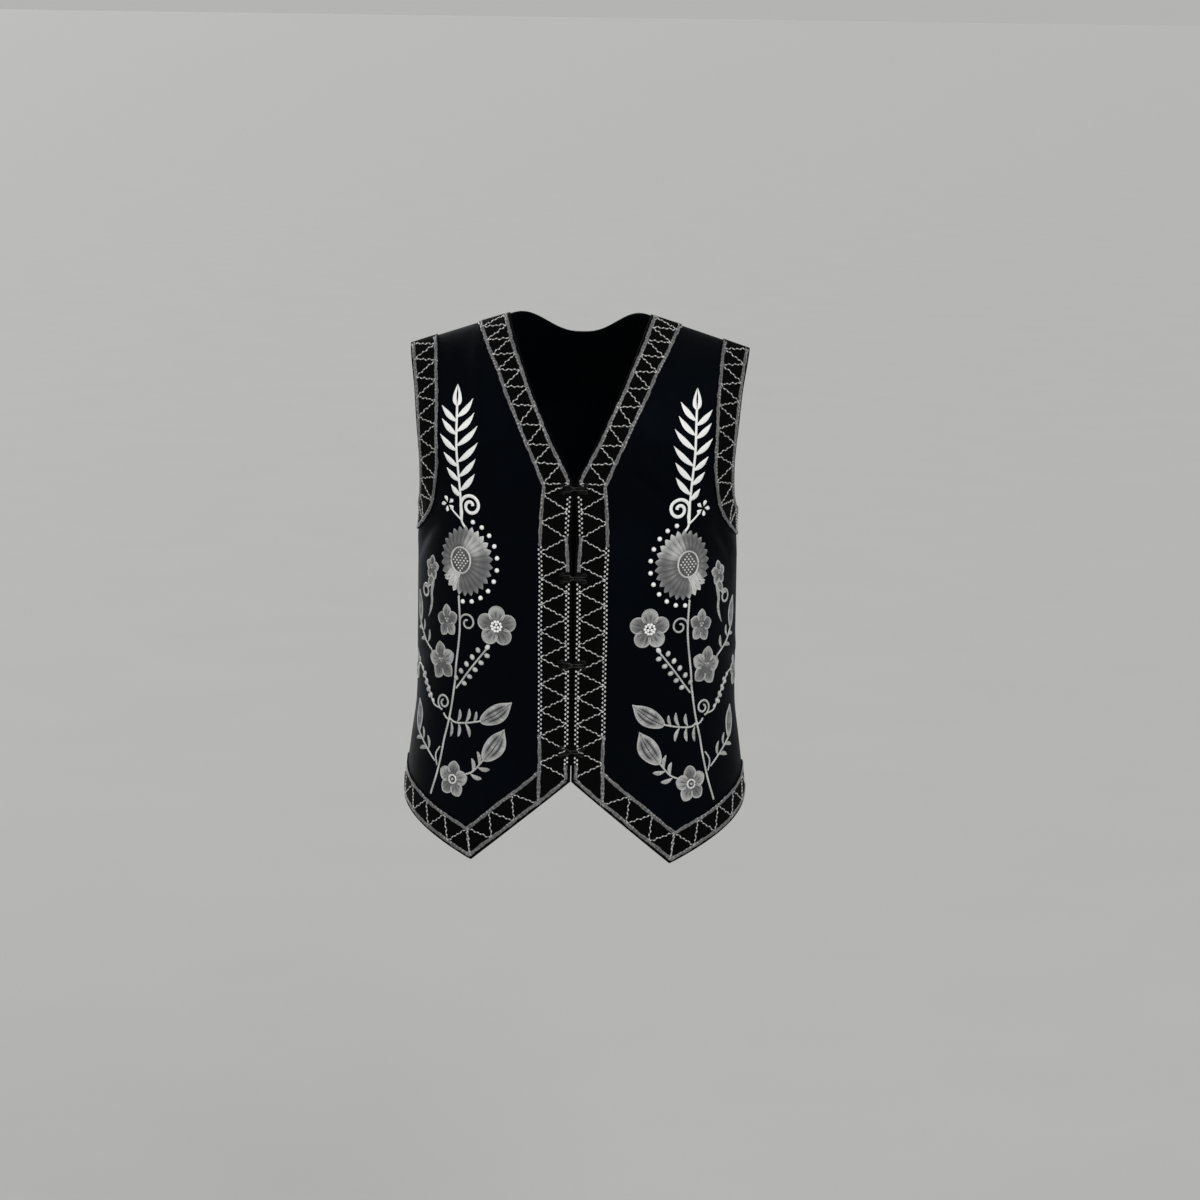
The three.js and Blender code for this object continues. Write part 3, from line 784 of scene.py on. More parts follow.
def makeSunflower(grey, white):
    s = sunflower
    centre, core = np.array(s["centre"], float), np.array(s["core"], float)
    count = int(2 * math.pi * (s["halfWidth"] + s["halfHeight"]) / 2 / s["thread"])
    angle = np.linspace(0, 2 * math.pi, 2 * count + 1)
    phase = (angle * s["rays"] / (2 * math.pi)) % 1
    point = 1 - np.abs(2 * phase - 1)  # 0 between two rays, 1 on a ray's point
    reach = 1 - s["rayDepth"] * (1 - point ** 0.8)
    outer = centre + oval(angle, s["halfWidth"], s["halfHeight"]) * reach[:, None]
    coreEdge = oval(angle, s["coreWidth"], s["coreHeight"])
    share = np.linspace(0, 1, 9)[:, None]
    flat = mix((core + coreEdge * 0.94)[None], outer[None], share[..., None])
    ridge = np.where(np.arange(len(angle)) % 2, 0.0, 0.15)
    up = 0.55 + 0.75 * np.sin(math.pi * share ** 0.8) * (0.35 + 0.65 * point[None] ** 0.7) + ridge
    up = np.where(share > 1 - 1e-6, -0.15, up)
    grain = np.repeat(rng.normal(0, 0.03, count + 1), 2)[: len(angle)]
    # painted shade: the valleys between threads and the dips between the rays' points are darker
    tone = 0.50 + grain - 0.10 * (ridge == 0) - 0.14 * (1 - point) ** 2
    for way, spread, gain in s["brightRays"]:
        off = (angle - way + math.pi) % (2 * math.pi) - math.pi
        tone = tone + gain * np.exp(-((off / spread) ** 4))
    tone = tone[None] + 0.10 * smoothStep(0.75, 1, share) - 0.06 * np.cos(9 * share + 0 * tone[None])
    addFlat(grey, flat[None], up[None], tone[None])
    # a rim round the core, and the lattice of stitches in it
    twistedRope(grey, evenLine(core + coreEdge, 0.6), 2.0, 0.9, 0.86, lift=0.9)
    filled = core + coreEdge * 0.98
    half = len(filled) // 2
    satin(grey, filled[: half: 3], filled[half:][::-1][: half: 3], 0.36, crown=0.7, lift=0.35, rows=9)
    spots = []
    steps = range(-4, 5)
    room = np.array([s["coreWidth"], s["coreHeight"]]) - s["rimWidth"]
    for i in steps:
        for j in steps:
            spot = np.array([(i + j) * 0.5, (j - i) * 0.62]) * s["dotPitch"]
            if ((spot / room) ** 2).sum() < 1:
                spots.append(core + spot)
    knots(grey, spots, 1.0, 0.8, 0.95, lift=1.05)
    # light threads that sweep out of the core
    for k, way in enumerate(np.linspace(*s["swooshRays"], 5)):
        start = core + oval(way - 0.5, s["coreWidth"], s["coreHeight"]) * 0.9
        end = centre + oval(way, s["halfWidth"], s["halfHeight"]) * (0.86 + 0.02 * k)
        middle = mix(start, end, 0.5) + (2.0 - 0.6 * k, -2.2)
        twistedRope(grey, smoothLine([start, middle, end], 0.7), 1.5, 0.8, 0.92, lift=0.9, ply=4)
    turn = np.linspace(s["knotFrom"], s["knotTo"], s["knotCount"])
    knots(white, centre + oval(turn, *s["knotReach"]), s["knotRadius"], 1.8, 0.95)


# Flowers with five petals: centre, radius, the first petal's way in degrees, how pointed the petals are,
# what the middle is, and how narrow the flower is
flowerColumns = ("centre", "radius", "turn", "pointed", "kind", "squeeze")
flowers = [dict(zip(flowerColumns, row)) for row in (
    ((76.5, -300), 20.5, 90, 0.0, "open", 1.0),
    ((133.5, -300), 15.5, 84, 0.22, "plain", 0.80),
    ((141, -342), 18.5, 80, 0.2, "plain", 0.9),
    ((123.4, -459.6), 17.5, 98, 0.12, "ringed", 0.92),
    ((200.6, -356), 15, 90, 0.1, "plain", 1.0),
    ((157.5, -249), 11.5, 96, 0.25, "plain", 0.85),
)]


def makeFlower(grey, white, flower):
    centre, size = np.array(flower["centre"], float), flower["radius"]
    petalRadius = size * 0.40
    petalCentre = size - petalRadius
    stretch = np.array([flower["squeeze"], 1.0])
    for k in range(5):
        way = math.radians(flower["turn"]) + k * 2 * math.pi / 5
        ahead = oval(way, 1, 1)
        left = turnedLeft(ahead)
        openShare = np.linspace(-1, 1, int(petalRadius * 5.0 / threadPitch))
        around = openShare * math.radians(142)
        point = 1 + flower["pointed"] * np.clip(1 - np.abs(openShare) * 3, 0, 1) ** 1.5
        rim = ahead * petalCentre + (ahead * np.cos(around)[:, None] * point[:, None]
                                     + left * np.sin(around)[:, None]) * petalRadius
        root = ahead * (size * 0.10) + left * (openShare * size * 0.12)[:, None]
        tone = 0.54 + 0.08 * math.sin(2.1 * k + size)

        def petalSheen(share, across):
            dash = np.exp(-(((share - 0.52) / 0.13) ** 2)) * (np.sin(across * 30) > 0.1)
            return 0.20 * share ** 3 - 0.24 * dash

        satin(grey, centre + root * stretch, centre + rim * stretch, tone,
              crown=0.55, rows=8, sheen=petalSheen)
        twistedRope(grey, evenLine(centre + rim * stretch * 0.985, 0.6), 1.5, 0.75, 0.74, lift=0.12, ply=2.4)
    if flower["kind"] == "open":
        ring = centre + oval(np.arange(10) * 2 * math.pi / 10, 1, 1) * size * 0.24
        knots(white, ring, 1.5, 1.1, 0.95, lift=0.5)
        knots(white, centre + np.array([(-1.7, -1.0), (1.7, -1.0), (0, 1.9)]), 1.5, 1.1, 0.92, lift=0.6)
    elif flower["kind"] == "ringed":
        ring = centre + oval(np.linspace(0, 2 * math.pi, 30), 1, 1) * size * 0.24
        twistedRope(grey, evenLine(ring, 0.5), 1.9, 1.0, 0.95, lift=0.5)
        knots(grey, [centre], 1.6, 1.1, 0.8, lift=0.5)
    else:
        knots(grey, [centre], size * 0.15, 0.6, 0.5, lift=0.1)
        knots(grey, [centre, centre + (1.8, 2.2), centre + (-1.5, 2.4)], 1.3, 1.0, 0.75, lift=0.5)


# Stems and twigs of the lower spray, each its width and a smooth line through a few places
stems = [
    (2.4, [(119, -272), (117.5, -307), (122, -347), (127, -387), (141, -447), (152, -479)]),
    (2.2, [(122, -368), (104, -345), (85.3, -322)]),
    (2.0, [(129, -399), (122, -402.5), (108, -401.5), (92, -398)]),
    (2.0, [(137.5, -395), (133, -399.5), (127.5, -401)]),
    (2.0, [(111, -454), (100, -449), (88, -436)]),
    (2.0, [(147, -445), (160, -434), (172, -424), (177, -420)]),
    (2.0, [(157, -333), (167, -326), (176, -316), (183, -308)]),
    (1.8, [(142, -391), (152, -388), (160, -376), (172.5, -359), (181, -352.5), (190, -353)]),
    (1.8, [(140, -429), (146, -438), (144, -449)]),
]
# slender leaves of the twigs: base, tip, width and bend
twigLeaves = [
    ((119.5, -402), (116.5, -388.5), 4.2, 0.12), ((110, -401.5), (105.5, -386.5), 4.2, 0.12),
    ((117.5, -402.5), (118, -417), 4.2, -0.1), ((110, -402), (104.5, -416), 4.2, -0.1),
    ((101, -400.5), (97.5, -388.5), 3.8, 0.1), ((127, -402), (127, -418), 3.8, -0.1),
    ((101, -449.5), (101.5, -436), 4.6, 0.14), ((103, -451.5), (90, -455.5), 4.8, 0.12),
    ((94, -443.5), (95.5, -428.5), 4.4, 0.12), ((95, -444.5), (81.5, -445.5), 4.8, 0.1),
    ((158, -435.5), (159, -421), 4.4, 0.12), ((160, -435), (173.5, -437), 4.6, 0.1),
    ((168, -427.5), (168, -414), 4.2, 0.12), ((170, -427), (183, -428.5), 4.2, 0.1),
    ((165, -327), (161.5, -313), 4.2, 0.12), ((168, -325), (181, -326), 4.6, 0.1),
    ((175, -317), (172.5, -304), 4.0, 0.12), ((177, -316), (189, -315), 4.2, 0.1),
    ((158.5, -285), (152.5, -256), 5.5, -0.08), ((164, -300), (158, -272), 4.2, 0.1),
    ((151, -360), (158, -331), 5.6, 0.08),
]
# broad leaves with a light rim and two slits: base, tip and width
broadLeaves = [
    ((92.5, -399), (60.0, -376.5), 18),
    ((88.5, -437), (67.5, -404.5), 19.5),
    ((177, -420), (183.5, -388), 13),
    ((183, -308), (189, -276), 12),
    ((164, -268), (156, -255), 8),
]
scrolls = [
    {"centre": (108.5, -299), "radius": 9.2, "turns": 1.3, "from": 0, "mirrored": False, "width": 2.2},
    {"centre": (137.5, -384), "radius": 8.6, "turns": 1.5, "from": -80, "mirrored": False, "width": 2.4},
    {"centre": (169.5, -274), "radius": 7.2, "turns": 1.25, "from": 150, "mirrored": True, "width": 2.6,
     "inner": 0.55},
]
berries = {
    "pairs": 5, "from": (117, -359), "to": (88.5, -325), "away": 5.3, "radius": 2.5, "long": 1.3,
    "chain": [(160, -377.5), (164, -371), (168.5, -364.5), (172, -357.5), (156.5, -383)],
}


def makeBroadLeaf(grey, base, tip, width):
    base, tip = np.array(base, float), np.array(tip, float)
    length = np.linalg.norm(tip - base)
    ahead = (tip - base) / length
    left = turnedLeft(ahead)
    t = np.linspace(0, 1, int(length / threadPitch))
    half = width / 2 * np.sin(math.pi * t ** 0.80) ** mix(0.65, 1.3, t)
    bow = 0.05 * length * np.sin(math.pi * t)
    spine = base + ahead * (t * length)[:, None] + left * bow[:, None]
    forward = ahead * (0.06 * length * np.sin(math.pi * t))[:, None]

    def slit(share, order):
        # an open slit halfway out, along the middle of the leaf
        within = smoothStep(0.14, 0.26, order) * (1 - smoothStep(0.68, 0.80, order))
        return np.exp(-(((share - 0.46) / 0.10) ** 2)) * within

    def leafSheen(share, order):
        return 0.16 * share ** 3 - 0.50 * slit(share, order) + 0.05 * np.sin(order * 17)

    for side in (-1, 1):
        rim = spine + left * (side * half)[:, None] + forward
        satin(grey, spine, rim, 0.62, crown=0.5, rows=12, sheen=leafSheen,
              dent=lambda share, order: 0.5 * slit(share, order))
        twistedRope(grey, evenLine(rim, 0.6), 1.2, 0.7, 0.78, ply=2.4, lift=0.08)


def makeSpray(grey):
    for width, line in stems:
        twistedRope(grey, smoothLine(line, 0.6), width, 1.1, 0.80, ply=3.2)
    for base, tip, width, bend in twigLeaves:
        leaf(grey, base, tip, width, 0.72, bend=bend, fullest=0.55)
    for base, tip, width in broadLeaves:
        makeBroadLeaf(grey, base, tip, width)
    for scroll in scrolls:
        line = spiralLine(scroll["centre"], scroll["radius"], scroll["turns"], math.radians(scroll["from"]),
                          inner=scroll.get("inner", 0.22), mirrored=scroll["mirrored"])
        satinStroke(grey, smoothLine(line[::4], 0.5), scroll["width"], 0.78, crown=0.6)
    start, end = np.array(berries["from"], float), np.array(berries["to"], float)
    ahead = unit(end - start)
    left = turnedLeft(ahead)
    for i in range(berries["pairs"]):
        at = mix(start, end, i / (berries["pairs"] - 0.6))
        for side in (-1, 1):
            spot = at + left * side * berries["away"] + ahead * (1.2 if side > 0 else -1.4)
            lean = 0.35 * ahead + left * side * 0.9
            knots(grey, [spot], berries["radius"], 1.5, 0.80, stretch=lean * berries["long"])
    knots(grey, [end + ahead * 4], berries["radius"], 1.6, 0.84, stretch=ahead * berries["long"])
    for i, spot in enumerate(berries["chain"]):
        for side in (-1, 1):
            knots(grey, [np.array(spot) + (side * 3.2, side * 2.0)], 1.9, 1.4, 0.78, stretch=(0.5, 1.2))


# Borders of stitching along the bands: lines of dots or cord, with a wavy zigzag between them
border = {
    "outerShare": 0.13, "innerShare": 0.95,  # where the front band's lines run across it
    "armholeLines": (3.0, 26.2), "hemLines": (3.5, 25.8),
    "strandWidth": 2.1, "strandHeight": 0.9, "strandPly": 7.0, "strandApart": 1.0, "strandWave": 9,
    "dotPitch": 4.6, "dotRadius": 1.05,
    "dots": {"outer": [(-168, -205), (-246, -436)], "inner": [(-214, -402)]},  # the rest of each line is cord
    "zigzag": {"neck": 22, "front": 27, "hem": 28.5, "armhole": 21},
    "waveHeight": 0.5, "waveLength": 6.4, "threadWidth": 1.2,
    "gapAtHook": 5.0, "bandEdge": 31.0,
    "tones": {"dots": 0.88, "frontCord": 0.40, "cord": 0.36, "hemInnerCord": 0.38, "frontZigzag": 0.78,
              "zigzag": 0.72, "mitre": 0.5},
}
hooks = {"first": -160, "spacing": 88, "count": 4}
hookHeights = [hooks["first"] - hooks["spacing"] * i for i in range(hooks["count"])]


def flatOf(turn, z):
    return np.stack([girthAt(turn, z), z + 0 * turn], -1)


def runOnCloth(flat):
    return runAlong(clothFrame(flat)[0])


def evenOnCloth(flat, spacing):
    # a line with even steps along the cloth itself
    run = runOnCloth(flat)
    return readLine(flat, run, np.linspace(0, run[-1], max(3, int(round(run[-1] / spacing)) + 1)))


def checkerLine(work, line, tone):
    # two columns of small stitches that alternate
    line = evenOnCloth(line, border["dotPitch"] / 2)
    side = leftOf(line) * np.where(np.arange(len(line)) % 2, 1, -1)[:, None]
    ahead = unit(np.gradient(line, axis=0))
    knots(work, line + side * 1.15, border["dotRadius"], 1.0, tone, stretch=ahead * 1.2, sides=8)


def cordLine(work, line, tone):
    # two twisted strands side by side, with lighter flecks
    line = evenOnCloth(line, 0.7)
    run = np.arange(len(line)) * 0.7
    wander = 0.3 * np.sin(run * 0.11 + 2) + 0.15 * np.sin(run * 0.43)
    for side in (-1, 1):
        sway = 0.8 + 0.2 * np.cos(run * math.pi / border["strandWave"])
        apart = side * border["strandApart"] * sway + wander
        flecks = np.sin(run * 2 * math.pi / 4.4 + 1.5 * np.sin(run * 0.17 + side) + side)
        fleckShare = 0.5 + 0.5 * np.sin(run * 0.083 + 2 * side)
        shade = tone + 0.05 * side + 0.42 * np.clip(flecks, 0, 1) ** 3 * fleckShare
        twistedRope(work, line + leftOf(line) * apart[:, None], border["strandWidth"], border["strandHeight"],
                    shade[:, None], ply=border["strandPly"], depth=0.35, lift=0.06 * side)


def zigzag(work, outer, innerLine, tops, tone):
    # tops are distances along the outer line; each turn on the inner line is the nearest to their middle
    run = runOnCloth(outer)
    topFlat, middles = readLine(outer, run, tops), readLine(outer, run, (tops[:-1] + tops[1:]) / 2)
    innerBase, middleBase = clothFrame(innerLine)[0], clothFrame(middles)[0]
    nearest = np.linalg.norm(innerBase[None] - middleBase[:, None], axis=-1).argmin(1)
    corners = np.empty((2 * len(topFlat) - 1, 2))
    corners[::2], corners[1::2] = topFlat, innerLine[nearest]
    line = evenOnCloth(corners, 0.55)
    run = np.arange(len(line)) * 0.55
    wave = np.sin(run * 2 * math.pi / border["waveLength"]) + 0.5 * np.sin(run * 2 * math.pi / 10.7 + 1)
    line = line + leftOf(line) * (border["waveHeight"] * wave)[:, None]
    dashes = tone + 0.28 * np.sin(run * 2 * math.pi / 3.6 + 1.3 * np.sin(run * 0.21))
    twistedRope(work, line, border["threadWidth"], 0.85, dashes[:, None], ply=2.6, depth=0.4)


def onFront(line):
    # the part of a line that stops just before the side seam
    return line[line[:, 0] < girthAt(quarterTurn, line[:, 1]) - 0.8]


def makeFrontBorder(grey):
    # from the shoulder down the neck and the centre front to the hem
    lines, tones = {}, border["tones"]
    for name, share in (("outer", border["outerShare"]), ("inner", border["innerShare"])):
        hemEnd = worn["hemCentre"] - hemFall * (share * frontBandWidths["width"][-1])
        hemEnd = hemEnd + border["hemLines"][0] * 1.3
        rowZ = np.concatenate([-np.linspace(0.05, 1, 60) ** 1.6 * 40, np.arange(-41, hemEnd, -1.0), [hemEnd]])
        line = lines[name] = flatOf(*frontBandCell(rowZ, share))
        # what each place of the line holds: 1 dots, 2 cord, and 0 where a hook or eye is sewn over it
        dotted = np.any([(rowZ <= top) & (rowZ >= low) for top, low in border["dots"][name]], axis=0)
        kinds = np.where(dotted, 1, 2)
        if name == "outer":
            toHook = np.abs(rowZ[:, None] - np.array(hookHeights)).min(1)
            kinds[toHook <= border["gapAtHook"]] = 0
        for part in np.split(np.arange(len(rowZ)), np.where(np.diff(kinds) != 0)[0] + 1):
            if kinds[part[0]] == 1 and len(part) > 3:
                checkerLine(grey, line[part], tones["dots"])
            elif kinds[part[0]] == 2 and len(part) > 3:
                cordLine(grey, line[part], tones["frontCord"])
    outer = lines["outer"]
    run = runOnCloth(outer)
    cornerAt, total = np.interp(worn["neckDepth"], -outer[:, 1], run), run[-1]
    neckTurns = round(cornerAt / border["zigzag"]["neck"])
    frontTurns = round((total - cornerAt) / border["zigzag"]["front"])
    tops = np.concatenate([np.linspace(2, cornerAt, neckTurns + 1),
                           np.linspace(cornerAt, total - 3, frontTurns + 1)[1:]])
    zigzag(grey, outer, lines["inner"], tops, tones["frontZigzag"])


def makeArmholeBorder(grey):
    share, tones = np.linspace(0.004, 0.995, 150), border["tones"]
    near, far = [flatOf(*insideArmhole(share, width)) for width in border["armholeLines"]]
    for line in (near, far):
        cordLine(grey, line, tones["cord"])
    total = runOnCloth(near)[-1]
    turns = round(total / border["zigzag"]["armhole"])
    zigzag(grey, near, far, np.linspace(2, total - 1, turns + 1), tones["zigzag"])


def makeHemBorder(grey):
    # with a line of stitches along the mitre of its point
    tones, bandEdge, pointGirth = border["tones"], border["bandEdge"], worn["hemPointGirth"]
    girths = np.sort(np.concatenate([np.arange(4.5, hemSideGirth - 1, 1.0), [pointGirth + 0.5]]))
    lines = []
    for around, width in zip((girths, girths[girths > bandEdge]), border["hemLines"]):
        lines.append(onFront(np.stack([around, hemLine(around, width)], -1)))
    outer, innerLine = lines
    cordLine(grey, outer, tones["cord"])
    cordLine(grey, innerLine, tones["hemInnerCord"])
    run = runOnCloth(outer)
    startAt, pointAt = np.interp([bandEdge + 2, pointGirth + 0.6], outer[:, 0], run)
    period = border["zigzag"]["hem"]
    tops = np.concatenate([
        np.linspace(startAt, pointAt, round((pointAt - startAt) / period) + 1),
        np.linspace(pointAt, run[-1] - 1, round((run[-1] - pointAt) / period) + 1)[1:],
    ])
    zigzag(grey, outer, innerLine, tops, tones["zigzag"])
    mitre = [outer[outer[:, 1].argmin()], innerLine[innerLine[:, 1].argmin()]]
    twistedRope(grey, evenLine(mitre, 0.55), border["threadWidth"], 0.9, tones["mitre"], ply=2.6, depth=0.4)


hookStitch = {
    "loopAt": 11.2, "loopApart": 3.4, "loopHalf": 1.7, "loopReach": 2.6, "loopTone": 0.3,
    "patchHalf": 4.6, "patchFrom": 1.8, "patchReach": 8.2, "patchTone": 0.25,
}


def makeHookStitches(black):
    # black thread that sews the loops of each hook and eye down, and a worked patch under them
    h = hookStitch
    for z in hookHeights:
        for half in (-1, 1):
            t = np.linspace(-1, 1, 12)
            loop = np.stack([h["loopAt"] + 0 * t, z + half * h["loopApart"] + t * h["loopHalf"]], -1)
            reach = (h["loopReach"], 0)
            satin(black, loop - reach, loop + reach, h["loopTone"], crown=1.5, rows=7)
        t = np.linspace(-h["patchHalf"], h["patchHalf"], 20)
        start = np.stack([h["patchFrom"] + 0.2 * np.abs(t), z + t], -1)
        satin(black, start, start + (h["patchReach"], 0), h["patchTone"], crown=0.45, rows=5)


topstitch = {"inset": 6.5, "length": 3.0, "gap": 1.4, "radius": 0.42, "height": 0.45}


def stitchRow(work, turn, z, face, inward):
    # a row of short stitches that follows an edge at its inset, inward being 1 or -1 for the edge's left
    base, normal = wornPoint(turn, z, face), outward(turn, z, face)
    ahead = unit(np.gradient(base, axis=0))
    base = base + np.cross(normal, ahead) * inward * topstitch["inset"]
    run = runAlong(base)
    at = np.arange(4, run[-1] - 4, topstitch["length"] + topstitch["gap"])
    place, out, way = readLine(base, run, at), unit(readLine(normal, run, at)), unit(readLine(ahead, run, at))
    spots = readLine(np.stack([girthAt(turn, z, face), z], -1), run, at)
    aside = np.cross(out, way)
    alongShare = np.linspace(-0.5, 0.5, 6)
    angle = np.linspace(0, math.pi, 5)
    fullness = np.sqrt(1 - (2 * alongShare) ** 2 * 0.98)
    across = -np.cos(angle)[None] * fullness[:, None] * topstitch["radius"]
    up = np.sin(angle)[None] * fullness[:, None] * topstitch["height"] - 0.06
    reach = (alongShare * topstitch["length"])[None, :, None, None]
    points = (place[:, None, None] + way[:, None, None] * reach
              + aside[:, None, None] * across[None, ..., None] + out[:, None, None] * up[None, ..., None])
    addPieces(work, points, np.broadcast_to(out[:, None, None], points.shape),
              np.broadcast_to(spots[:, None, None], points.shape[:3] + (2,)), 0.7)


def makeBackStitches():
    # the back's own edges are turned in and stitched once round
    work = newWork()
    middle = backTurn.shape[1] // 2
    neckSteps = grid["backNeck"] * grid["finerBack"]
    neckEdge = slice(middle - neckSteps, middle + neckSteps + 1)
    lastChest = grid["backChest"] * grid["finerBack"] + 1
    edges = [
        (backTurn[0, neckEdge], backZ[0, neckEdge]),
        (backTurn[-1], backZ[-1]),
        (backTurn[:lastChest, 0], backZ[:lastChest, 0]),
        (backTurn[:lastChest, -1], backZ[:lastChest, -1]),
    ]
    for (turn, z), inward in zip(edges, (1, -1, -1, 1)):
        stitchRow(work, turn, z, "back", inward)
    points, normals, spots, tones, faces = joined(work)
    lift = cloth + creaseLift("back", spots[:, 0], spots[:, 1])
    piece = makeMesh("back_stitches", points + normals * lift[:, None], faces, spots, tones)
    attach(piece, "root")
    return piece


def layWork(name, work, lift):
    points, normals, spots, tones, faces = joined(work)
    pieces = {}
    for sideName, side in (("left", 1), ("right", -1)):
        crease = creaseLift(sideName, spots[:, 0], spots[:, 1])
        laid = points + normals * (lift + crease)[:, None]
        order = faces if side > 0 else faces[:, ::-1]
        piece = makeMesh(f"{name}_{sideName}", laid * (side, 1, 1), order, spots, np.clip(tones, 0, 1))
        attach(piece, "root")
        pieces[sideName] = piece
    print(name, "has", len(faces) * 2, "triangles a side")
    return pieces


whiteWork, greyWork, borderWork, hookWork = newWork(), newWork(), newWork(), newWork()
makeFern(whiteWork)
makeSunflower(greyWork, whiteWork)
for flower in flowers:
    makeFlower(greyWork, whiteWork, flower)
makeSpray(greyWork)
makeFrontBorder(borderWork)
makeArmholeBorder(borderWork)
makeHemBorder(borderWork)
makeHookStitches(hookWork)
embroidery = {}
for name, work, lift, slotName in (
    ("white_embroidery", whiteWork, cloth, "white_thread"),
    ("grey_embroidery", greyWork, cloth, "grey_thread"),
    ("border_embroidery", borderWork, bandTop, "grey_thread"),
    ("hook_stitches", hookWork, bandTop, "band_cloth"),
):
    embroidery[name] = layWork(name, work, lift)
backStitches = makeBackStitches()


# Materials
class Nodes:
    # a material's node tree with its Principled shader, and short ways to add to it
    def __init__(self, name):
        self.material = bpy.data.materials.new(name)
        self.material.use_nodes = True
        self.tree = self.material.node_tree
        self.shader = self.tree.nodes["Principled BSDF"]

    def add(self, kind, **values):
        node = self.tree.nodes.new(kind)
        for key, value in values.items():
            if hasattr(node, key):
                setattr(node, key, value)
            else:
                node.inputs[key.replace("_", " ")].default_value = value
        return node

    def link(self, source, target):
        self.tree.links.new(source, target)

    def object(self):
        return self.add("ShaderNodeTexCoord").outputs["Object"]

    def cloth(self):
        return self.add("ShaderNodeUVMap", uv_map="cloth").outputs["UV"]

    def tone(self):
        # each thread's lightness, with painted shade in the valleys between threads, in the grooves of the
        # ply, between the sunflower's rays and round the foot of each knot
        return self.add("ShaderNodeAttribute", attribute_name="tone").outputs["Fac"]

    def noise(self, place, scale, detail, roughness=0.5):
        node = self.add("ShaderNodeTexNoise", Scale=scale, Detail=detail, Roughness=roughness)
        self.link(place, node.inputs["Vector"])
        return node.outputs["Fac"]

    def yarns(self, place, pitch, way, distortion, detail):
        # yarns a pitch apart in millimetres on the cloth
        node = self.add("ShaderNodeTexWave", wave_type="BANDS", bands_direction=way, Detail=detail,
                        Scale=100 / pitch / math.tau, Distortion=distortion)
        self.link(place, node.inputs["Vector"])
        return node.outputs["Fac"]

    def sum(self, operation, *values):
        node = self.add("ShaderNodeMath", operation=operation)
        for socket, value in zip(node.inputs, values):
            if isinstance(value, bpy.types.NodeSocket):
                self.link(value, socket)
            else:
                socket.default_value = value
        return node.outputs[0]

    def paint(self, source, *stops):
        # the base colour, from the stops of a ramp
        node = self.add("ShaderNodeValToRGB")
        elements = node.color_ramp.elements
        while len(elements) < len(stops):
            elements.new(0.5)
        for element, (position, colour) in zip(elements, stops):
            element.position, element.color = position, (*colour, 1)
        self.link(source, node.inputs["Fac"])
        self.link(node.outputs["Color"], self.shader.inputs["Base Color"])

    def roughen(self, source, low, high):
        node = self.add("ShaderNodeMapRange", To_Min=low, To_Max=high)
        self.link(source, node.inputs["Value"])
        self.link(node.outputs["Result"], self.shader.inputs["Roughness"])

    def bump(self, height, strength, distance):
        node = self.add("ShaderNodeBump", Strength=strength, Distance=distance)
        self.link(height, node.inputs["Height"])
        self.link(node.outputs["Normal"], self.shader.inputs["Normal"])

    def set(self, **values):
        for key, value in values.items():
            self.shader.inputs[key.replace("_", " ")].default_value = value


velveteen = {
    "dark": (0.0002, 0.0003, 0.0005), "light": (0.0007, 0.0012, 0.0022),
    "cloud": 7.0, "pile": 1400, "nap": 60,
    "sheen": 0.035, "sheenColour": (0.42, 0.52, 0.66), "lustre": 0.045, "lustreColour": (0.5, 0.72, 1.0),
    "roughness": 0.6, "roughnessSpread": 0.12,
}


def makeVelveteen():
    nodes = Nodes("velveteen")
    place = nodes.object()
    cloud = nodes.noise(place, velveteen["cloud"], 4, 0.55)
    nodes.paint(cloud, (0.3, velveteen["dark"]), (0.72, velveteen["light"]))
    pile, nap = nodes.noise(place, velveteen["pile"], 2), nodes.noise(place, velveteen["nap"], 5, 0.6)
    nodes.bump(nodes.sum("ADD", pile, nap), 0.35, 0.0004)
    spread = velveteen["roughnessSpread"]
    nodes.roughen(nap, velveteen["roughness"] - spread, velveteen["roughness"] + spread)
    nodes.set(Sheen_Weight=velveteen["sheen"], Sheen_Roughness=0.35,
              Sheen_Tint=(*velveteen["sheenColour"], 1), Specular_IOR_Level=velveteen["lustre"],
              Specular_Tint=(*velveteen["lustreColour"], 1))
    return nodes.material


bandCloth = {
    "dark": (0.0009, 0.0009, 0.0009), "light": (0.0024, 0.0024, 0.0023), "rib": 0.9, "roughness": 0.85,
}


def makeBandCloth():
    nodes = Nodes("band_cloth")
    flat = nodes.cloth()
    nodes.paint(nodes.noise(flat, 40, 4), (0.3, bandCloth["dark"]), (0.7, bandCloth["light"]))
    nodes.bump(nodes.yarns(flat, bandCloth["rib"], "DIAGONAL", 0.6, 2), 0.5, 0.0003)
    nodes.set(Roughness=bandCloth["roughness"], Sheen_Weight=0.01, Specular_IOR_Level=0.03)
    return nodes.material


wrongSide = {
    "dark": (0.0022, 0.0023, 0.0026), "light": (0.0056, 0.0058, 0.0064), "weave": 0.8, "roughness": 0.9,
}


def makeWrongSide():
    # the plain weave behind the pile
    nodes = Nodes("cloth_wrong_side")
    flat = nodes.cloth()
    nodes.paint(nodes.noise(flat, 30, 4), (0.3, wrongSide["dark"]), (0.7, wrongSide["light"]))
    yarns = [nodes.yarns(flat, wrongSide["weave"], way, 0.4, 1) for way in ("X", "Y")]
    nodes.bump(nodes.sum("ADD", *yarns), 0.4, 0.0003)
    nodes.set(Roughness=wrongSide["roughness"], Specular_IOR_Level=0.12)
    return nodes.material


threads = {
    "grey_thread": {"dark": (0.035, 0.035, 0.036), "middle": (0.165, 0.165, 0.168),
                    "light": (0.74, 0.74, 0.73), "roughness": 0.42},
    "white_thread": {"dark": (0.45, 0.45, 0.45), "middle": (0.90, 0.90, 0.895),
                     "light": (0.97, 0.97, 0.965), "roughness": 0.45},
    "fibres": 0.16, "patches": 0.22,  # how far the fibres and the patches change the lightness
}


